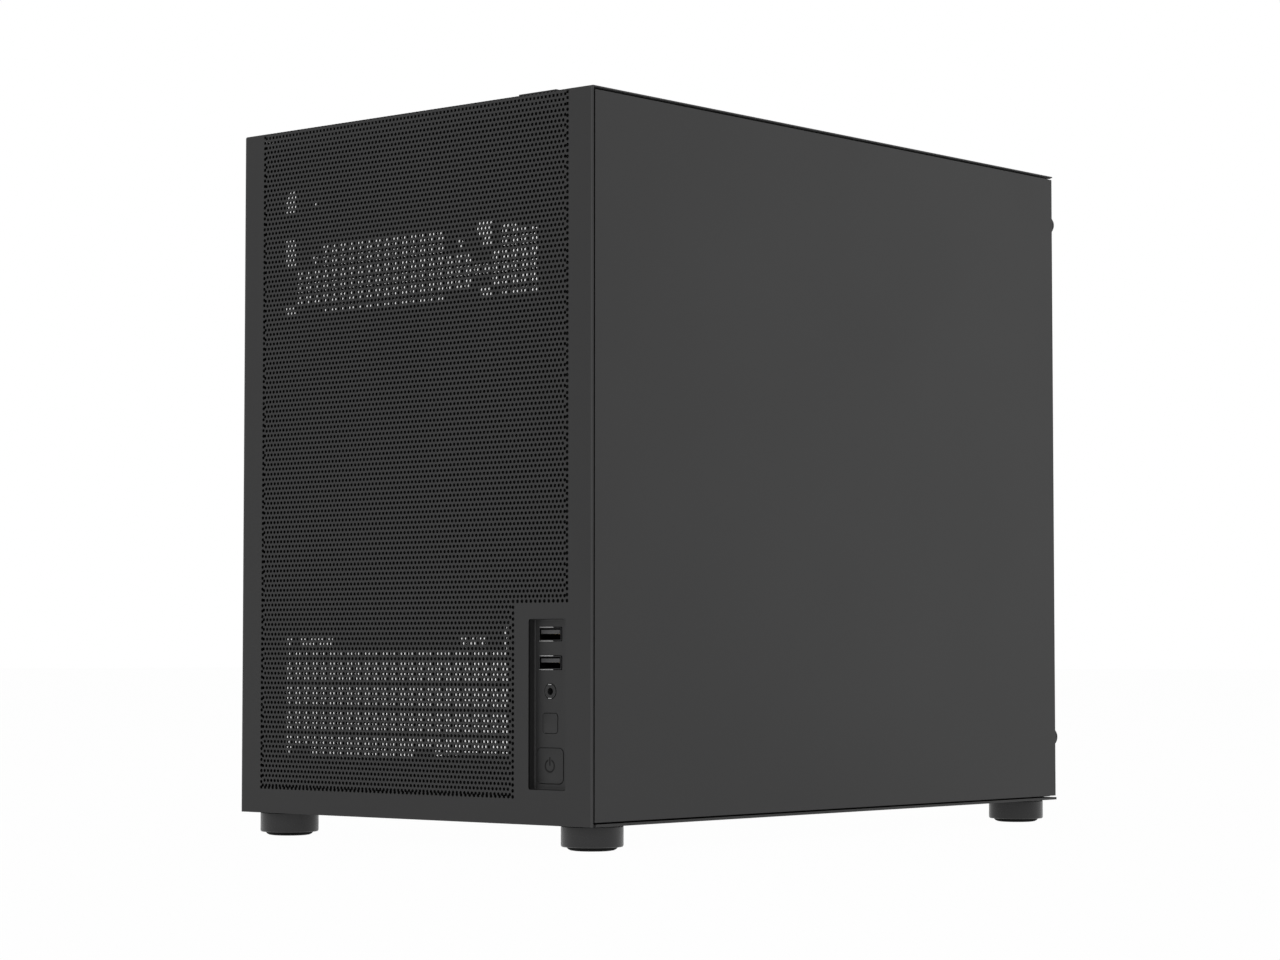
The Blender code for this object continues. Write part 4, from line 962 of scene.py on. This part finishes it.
def feet():
    ring = [(0.0, 0.0040), (0.0123, 0.0040), (0.0123, 0.0019), (0.0125, 0.0017), (0.0131, 0.0017),
            (0.0134, 0.0019), (0.0136, 0.0024), (0.0136, 0.0104), (0.0134, 0.0107), (0.0, 0.0107)]
    pad = [(0.0, 0.0), (0.0082, 0.0), (0.0095, 0.0002), (0.0105, 0.0007), (0.0110, 0.0013),
           (0.0111, 0.0020), (0.0111, 0.0037), (0.0, 0.0037)]
    side, front, rear = 0.095, -0.16655, 0.15885
    places = {"front_left": (-side, front), "front_right": (side, front),
              "rear_left": (-side, rear), "rear_right": (side, rear)}
    cup = turned("foot_cup", (0, 0, 0), ring, sides=96)
    sole = turned("foot_sole", (0, 0, 0), pad, sides=96)
    smooth(cup)
    smooth(sole)
    for name, (x, y) in places.items():
        keep(copy_to(cup, "foot_cup_" + name, (x, y, 0)), "case", FOOT, "foot_" + name)
        keep(copy_to(sole, "foot_sole_" + name, (x, y, 0)), "case", RUBBER, "foot_pad_" + name)
    drop(cup, sole)


def cross_recess(piece, spot, axis, arm, near, far):
    """Cuts a cross into a screw's head, from near to far along its axis."""
    ahead = Vector([float(k == axis) for k in range(3)])
    for sizes in (arm, arm[::-1]):
        reach = Vector([*sizes[:axis], 0.0, *sizes[axis:]])
        low, high = Vector(spot) - reach + ahead * near, Vector(spot) + reach + ahead * far
        cut(piece, slab("cross_arm", low, high))


def thumbscrews():
    """Knurled heads with a waist, a shallow dish and a cross recess."""
    spot, sides, knurl = (0.0, REAR_Y, 0.0), 72, 0.93
    shape = [(0.0, -0.0060), (0.0012, -0.0060), (0.0015, -0.0056), (0.0015, 0.0003),
             (0.0042, 0.0003), (0.0042, 0.0012), (0.0038, 0.0014), (0.0038, 0.0017),
             (0.0049, 0.0020), (0.0052, 0.0023), (0.0052, 0.0069), (0.0050, 0.0073),
             (0.0044, 0.0074), (0.0040, 0.0071), (0.0, 0.0070)]
    model = turned("screw_model", spot, shape, (0, 1, 0), sides)
    edit(model, "VERT")

    def groove(v):
        """Every second line of points round the head's widest part."""
        turn = atan2(v.co.z, v.co.x) / (2 * pi) * sides
        wide = (v.co.x ** 2 + v.co.z ** 2) ** 0.5 > 0.0051
        return wide and 0.0022 < v.co.y - REAR_Y < 0.0069 and round(turn) % 2 == 1

    pick(model, "verts", groove)
    bpy.ops.transform.resize(value=(knurl, 1.0, knurl), center_override=spot)
    rest()
    cross_recess(model, spot, 1, (0.0019, 0.0004), 0.0058, 0.0090)
    smooth(model, 35)
    for side, x in (("left", -SCREW_X), ("right", SCREW_X)):
        for row, z in SCREW_HEIGHTS.items():
            name = "%s_%s" % (side, row)
            screw = copy_to(model, "knurled_screw_" + name, (x, 0, z))
            keep(screw, "screw_" + name, ZINC, "thumbscrew_" + name)
    drop(model)


def cover_screws():
    """Pan-head screws with a cross recess that hold the slot covers."""
    shape = [(0.0, -0.0050), (0.0011, -0.0050), (0.0014, -0.0046), (0.0014, 0.0), (0.0030, 0.0),
             (0.0030, 0.0009), (0.0027, 0.0014), (0.0020, 0.0018), (0.0, 0.0020)]
    ledge, cover = -0.031, 0.0008
    spot = (ledge + SEAT + cover + SEAT, 0.17785, 0.0)
    model = turned("cover_screw_model", spot, shape, (1, 0, 0), 40)
    cross_recess(model, spot, 0, (0.0016, 0.0003), 0.0009, 0.0040)
    smooth(model)
    for k, z in enumerate(CARD_SLOTS):
        screw = copy_to(model, "cover_screw_%d" % (k + 1), (0, 0, z))
        keep(screw, "case", BRIGHT, "slot_screw_%d" % (k + 1))
    drop(model)


# Port column

def bezel():
    """The moulded tube behind the front's cut-out, with a sunk floor and its openings."""
    centre, inner = (RECESS_X, RECESS_Z), (RECESS_WIDTH, RECESS_HEIGHT)
    tube = [size + 2 * BEZEL_WALL for size in inner]
    flange = [size + 2 * BEZEL_FLANGE for size in tube]
    back = FRONT_Y + MESH_SHEET + 0.0001
    made = plate("port_bezel", centre, *flange, back, back + BEZEL_WALL, 0.003)
    start = back + BEZEL_WALL / 2
    cut(made, plate("bezel_tube", centre, *tube, start, BEZEL_BACK_Y, 0.0015), "UNION")
    front = plate("bezel_front", centre, *inner, FRONT_Y, RECESS_Y, RECESS_CORNER)
    round_rim(front, RECESS_Y, 0.0007, 4)
    cut(made, front)
    rear, past = RECESS_Y + BEZEL_FLOOR, BEZEL_BACK_Y + CUT_PAST
    cut(made, plate("bezel_rear", centre, *inner, rear, past, RECESS_CORNER))
    through = (RECESS_Y - CUT_PAST, RECESS_Y + 2 * BEZEL_FLOOR)
    for z in USB_HEIGHTS.values():
        wide, tall = USB_WIDTH + 2 * SEAT, USB_HEIGHT + 2 * SEAT
        cut(made, plate("port_opening", (PORT_X, z), wide, tall, *through, 0.0006))
    for z, width in ((RESET_Z, RESET_WIDTH), (POWER_Z, POWER_WIDTH)):
        wide, corner = width + 2 * BUTTON_GAP, width * BUTTON_CORNER + BUTTON_GAP
        cut(made, plate("port_opening", (PORT_X, z), wide, wide, *through, corner, 6))
    radius, deep = JACK_RADIUS + SEAT, 0.005
    hole = [(0.0, -CUT_PAST), (radius, -CUT_PAST), (radius, deep), (0.0, deep)]
    cut(made, turned("port_opening", (PORT_X, RECESS_Y, JACK_Z), hole, (0, 1, 0), 64))
    face_out(made)
    smooth(made)
    keep(made, "case", PLASTIC, "io_bezel")


def usb_sockets():
    """Each socket's folded shell with its lips, its tongue and four contacts."""
    front = RECESS_Y - SEAT
    for name, z in USB_HEIGHTS.items():
        spot = (PORT_X, z)
        shell = plate("usb_shell", spot, USB_WIDTH, USB_HEIGHT, front, BEZEL_BACK_Y, 0.0006)
        wide, tall = USB_WIDTH - 2 * USB_SHELL, USB_HEIGHT - 2 * USB_SHELL
        ends = (front - CUT_PAST, BEZEL_BACK_Y - USB_SHELL)
        cut(shell, plate("usb_inside", spot, wide, tall, *ends, 0.0003))
        lips, half = [], 0.00018
        for edge in (z - 0.0030, z + 0.0030):
            low = (PORT_X - 0.0060, front - 0.0003, edge - half)
            lip = slab("usb_lip", low, (PORT_X + 0.0021, front + 0.0004, edge + half))
            soften(lip, 0.0001, 2)
            lips.append(lip)
        face_out(shell)
        soften(shell, 0.00008, 1, 60)
        shell.name = "usb_socket_" + name
        smooth(shell)
        # The shell's dark metal is painted shade in the socket's opening.
        keep(shell, "case", SOCKET_SHADE_STEEL, "usb_shell_" + name)
        keep(join(lips, "usb_lips_" + name), "case", BRIGHT)
        top = z + USB_HEIGHT / 2 - USB_SHELL - 0.0006
        tongue = slab("usb_tongue_bar_" + name, (PORT_X - 0.0057, front + 0.0005, top - 0.0018),
                      (PORT_X + 0.0052, BEZEL_BACK_Y - 0.0007, top))
        soften(tongue, 0.0002, 2)
        smooth(tongue)
        keep(tongue, "case", TONGUE, "usb_tongue_" + name)
        contacts = []
        for x in (-0.0035, -0.0012, 0.0012, 0.0035):
            low = (PORT_X + x - 0.0006, front + 0.0048, top - 0.0019)
            high = (PORT_X + x + 0.0006, BEZEL_BACK_Y - 0.002, top - 0.0017)
            contact = slab("usb_contact", low, high)
            soften(contact, 0.00005, 1)
            contacts.append(contact)
        keep(join(contacts, "usb_contacts_" + name), "case", GOLD)


def jack():
    """The audio socket's barrel with a grooved face, and two contact tips beside it."""
    length = BEZEL_BACK_Y - RECESS_Y + SEAT
    shape = [(0.0, 0.0), (JACK_RADIUS, 0.0), (JACK_RADIUS, length - 0.0002), (0.0030, length),
             (0.0026, length), (0.0025, length - 0.0001), (0.0022, length - 0.0001),
             (0.0021, length), (0.0018, length), (0.00155, length - 0.0002),
             (0.00155, length * 0.1), (0.0, length * 0.1)]
    barrel = turned("jack_barrel", (PORT_X, BEZEL_BACK_Y, JACK_Z), shape, (0, -1, 0), 64)
    smooth(barrel)
    keep(barrel, "case", PLASTIC, "audio_jack")
    tips, half = [], 0.0002
    for z in (JACK_Z - 0.0030, JACK_Z + 0.0030):
        low = (PORT_X - 0.0010, RECESS_Y - 0.0005, z - half)
        tip = slab("jack_tip", low, (PORT_X + 0.0010, RECESS_Y + 0.0004, z + half))
        soften(tip, 0.00012, 2)
        tips.append(tip)
    keep(join(tips, "jack_contact_tips"), "case", BRIGHT)


def button(name, z, width):
    """A cap with a soft rim, its retaining lip and its stem, which ends a press from its switch."""
    spot, corner = (PORT_X, z), width * BUTTON_CORNER
    face_y, lip_y, lip = RECESS_Y - BUTTON_PROUD, RECESS_Y + BEZEL_FLOOR + SEAT, 0.0012
    start = lip_y + lip / 2
    cap = plate(name, spot, width, width, face_y, start, corner, 6)
    round_rim(cap, face_y, 0.00025)
    wide = width + 2 * BUTTON_GAP + 0.0014
    cut(cap, plate("button_lip", spot, wide, wide, lip_y, lip_y + lip, corner, 4), "UNION")
    switch_body, switch_tip = 0.0035, 0.0010
    switch_y = BEZEL_BACK_Y - switch_body - switch_tip
    length, radius, chamfer = switch_y - BUTTON_PRESS - SEAT - start, 0.0015, 0.97468
    stem = [(0.0, 0.0), (radius, 0.0), (radius, length * chamfer), (0.0013, length), (0.0, length)]
    cut(cap, turned("button_stem", (PORT_X, start, z), stem, (0, 1, 0), 32), "UNION")
    return cap


def power_mark(proud, deep):
    """The open ring and bar of the mark for power, as a solid through the large button's face."""
    face_y = RECESS_Y - BUTTON_PROUD
    ring = [(0.0022, -proud), (0.0030, -proud), (0.0030, deep), (0.0022, deep), (0.0022, -proud)]
    mark = turned("power_ring", (PORT_X, face_y, POWER_Z), ring, (0, 1, 0), 64)
    gap = (PORT_X - 0.0009, face_y - 0.002, POWER_Z + 0.0012)
    cut(mark, slab("ring_gap", gap, (PORT_X + 0.0009, face_y + 0.002, POWER_Z + 0.0040)))
    low = (PORT_X - 0.00038, face_y - proud, POWER_Z + 0.0001)
    bar = slab("power_bar", low, (PORT_X + 0.00038, face_y + deep, POWER_Z + 0.0038))
    return join([mark, bar], "power_mark")


def buttons():
    small = button("reset_cap_piece", RESET_Z, RESET_WIDTH)
    face_out(small)
    smooth(small)
    keep(small, "reset_cap", PLASTIC, "reset_button")
    large = button("power_cap_piece", POWER_Z, POWER_WIDTH)
    mark = power_mark(0.0006, 0.0004)
    cut(large, mark)
    face_out(large)
    smooth(large)
    keep(large, "power_cap", PLASTIC, "power_button")
    # Painted shade: a near-black fill just under the face of the engraved mark stands for the shade
    # in its groove.
    groove_shade = power_mark(-0.00008, 0.00035)
    groove_shade.name = "power_mark_groove_shade"
    smooth(groove_shade)
    keep(groove_shade, "power_cap", BLACK_PRINT_AND_SHADE)


# Mains inlet

def inlet():
    """The three-pin inlet: a flange with two screws, a keyed socket and its pins."""
    (x, z), face = INLET, REAR_WALL_Y + SEAT
    made = plate("inlet_housing", (x, z), 0.0230, 0.0480, face, face + 0.0030, 0.0040)
    round_rim(made, face + 0.0030, 0.0005)
    back, front = face - 0.018, face + 0.001
    cut(made, plate("inlet_body", (x, z), 0.0196, 0.0272, back, front, 0.0015), "UNION")
    low, high = (x - 0.0078, face - 0.016, z - 0.0116), (x + 0.0078, face + 0.006, z + 0.0116)
    hollow = slab("inlet_hollow", low, high)
    edit(hollow, "EDGE")
    pick(hollow, "edges", lambda e: along(1)(e) and middle(e).x < x)
    bpy.ops.mesh.bevel(offset=0.0036, segments=1, affect="EDGES")
    rest()
    cut(made, hollow)
    pins, screws = [], []
    for dx, dz in ((-0.0020, 0.0), (0.0020, 0.0070), (0.0020, -0.0070)):
        low = (x + dx - 0.0020, face - 0.0165, z + dz - 0.0010)
        pin = slab("inlet_pin", low, (x + dx + 0.0020, face - 0.0020, z + dz + 0.0010))
        soften(pin, 0.0004, 2)
        pins.append(pin)
    for dz in (-0.0190, 0.0190):
        head = [(0.0, -0.002), (0.0014, -0.002), (0.0014, 0.0), (0.0029, 0.0), (0.0027, 0.0006),
                (0.0018, 0.0010), (0.0, 0.0011)]
        screw = turned("inlet_screw", (x, face + 0.0030, z + dz), head, (0, 1, 0), 36)
        for wide, tall in ((0.0015, 0.0003), (0.0003, 0.0015)):
            low = (x - wide, face + 0.0034, z + dz - tall)
            cut(screw, slab("inlet_cross", low, (x + wide, face + 0.0060, z + dz + tall)))
        screws.append(screw)
    face_out(made)
    smooth(made)
    keep(made, "case", PLASTIC, "power_inlet")
    fittings = join(pins + screws, "inlet_pins_and_screws")
    smooth(fittings)
    keep(fittings, "case", BRIGHT)


# Stage

WORLD_LEVEL = 0.27
FLOOR_PALE = 0.76
FLOOR_WHITE = 0.985
MIRRORED_WHITE = 0.8


def math_node(tree, operation, first, second):
    return wired(tree, "ShaderNodeMath", {"operation": operation}, {0: first, 1: second}).outputs[0]


def shade_floor():
    """Pale floor that the camera sees as white, with the object's shadow kept faint on it."""
    made = bpy.data.materials.new("studio_floor")
    made.use_nodes = True
    tree = made.node_tree
    tree.nodes.remove(tree.nodes["Principled BSDF"])
    path = wired(tree, "ShaderNodeLightPath", {}, {}).outputs
    mirrored = math_node(tree, "MULTIPLY", path["Is Glossy Ray"], MIRRORED_WHITE)
    seen = math_node(tree, "MAXIMUM", path["Is Camera Ray"], mirrored)
    share = math_node(tree, "MULTIPLY", seen, FLOOR_WHITE)
    colour = (FLOOR_PALE, FLOOR_PALE, FLOOR_PALE, 1.0)
    pale = wired(tree, "ShaderNodeBsdfDiffuse", {}, {"Color": colour})
    white = wired(tree, "ShaderNodeEmission", {}, {})
    shaders = {0: share, 1: pale.outputs[0], 2: white.outputs[0]}
    mix = wired(tree, "ShaderNodeMixShader", {}, shaders)
    tree.links.new(mix.outputs[0], tree.nodes["Material Output"].inputs["Surface"])
    return made


def studio():
    """The floor, and a world that is white to the camera and dimmer as a light."""
    rest()
    bpy.ops.mesh.primitive_plane_add(size=30, location=(0, 0, 0))
    floor = bpy.context.object
    floor.name = "studio_floor"
    floor.data.materials.append(shade_floor())

    world = bpy.data.worlds.new("studio")
    bpy.context.scene.world = world
    world.use_nodes = True
    tree = world.node_tree
    path = wired(tree, "ShaderNodeLightPath", {}, {}).outputs
    seen = math_node(tree, "MAXIMUM", path["Is Camera Ray"], path["Is Transmission Ray"])
    values = {"Value": seen, "To Min": WORLD_LEVEL, "To Max": 1.0}
    level = wired(tree, "ShaderNodeMapRange", {}, values)
    background = tree.nodes["Background"]
    background.inputs["Color"].default_value = (1.0, 1.0, 1.0, 1.0)
    tree.links.new(level.outputs[0], background.inputs["Strength"])


def lamp(name, place, size, watts, target=(0.0, 0.0, 0.17)):
    data = bpy.data.lights.new(name, "AREA")
    data.shape = "RECTANGLE"
    data.size, data.size_y = size
    data.energy = watts
    made = bpy.data.objects.new(name, data)
    made.location = place
    made.rotation_euler = (Vector(target) - Vector(place)).to_track_quat("-Z", "Y").to_euler()
    bpy.context.scene.collection.objects.link(made)


def camera():
    data = bpy.data.cameras.new("photo_camera")
    data.lens = 91.2
    data.sensor_width = 36.0
    data.clip_start = 0.05
    data.clip_end = 60.0
    made = bpy.data.objects.new("photo_camera", data)
    made.location = (1.0278, -1.2225, 0.0846)
    made.rotation_euler = (radians(93.082), 0.0, radians(40.616))
    bpy.context.scene.collection.objects.link(made)
    bpy.context.scene.camera = made


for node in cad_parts.values():
    for slot in node.material_slots:
        slot.material = NODE_FINISHES[slot.material.name.split(".")[0]]

folded_front()
inner_wall()
rear_sheet()
solid_side()
glass_border()
dust_filter()
feet()
thumbscrews()
cover_screws()
bezel()
usb_sockets()
jack()
buttons()
inlet()

studio()
lamp("key_softbox", (-0.75, -2.6, 1.5), (1.8, 1.4), 12.3)
lamp("side_softbox", (1.6, 1.9, 0.8), (1.4, 1.4), 7.6, (0.1, 0.15, 0.15))
lamp("edge_softbox", (1.7, -2.0, 1.2), (0.5, 0.9), 3.0)
lamp("top_softbox", (0.0, 0.0, 2.4), (1.6, 1.6), 9.0)
camera()

bpy.context.scene.view_settings.view_transform = "Standard"
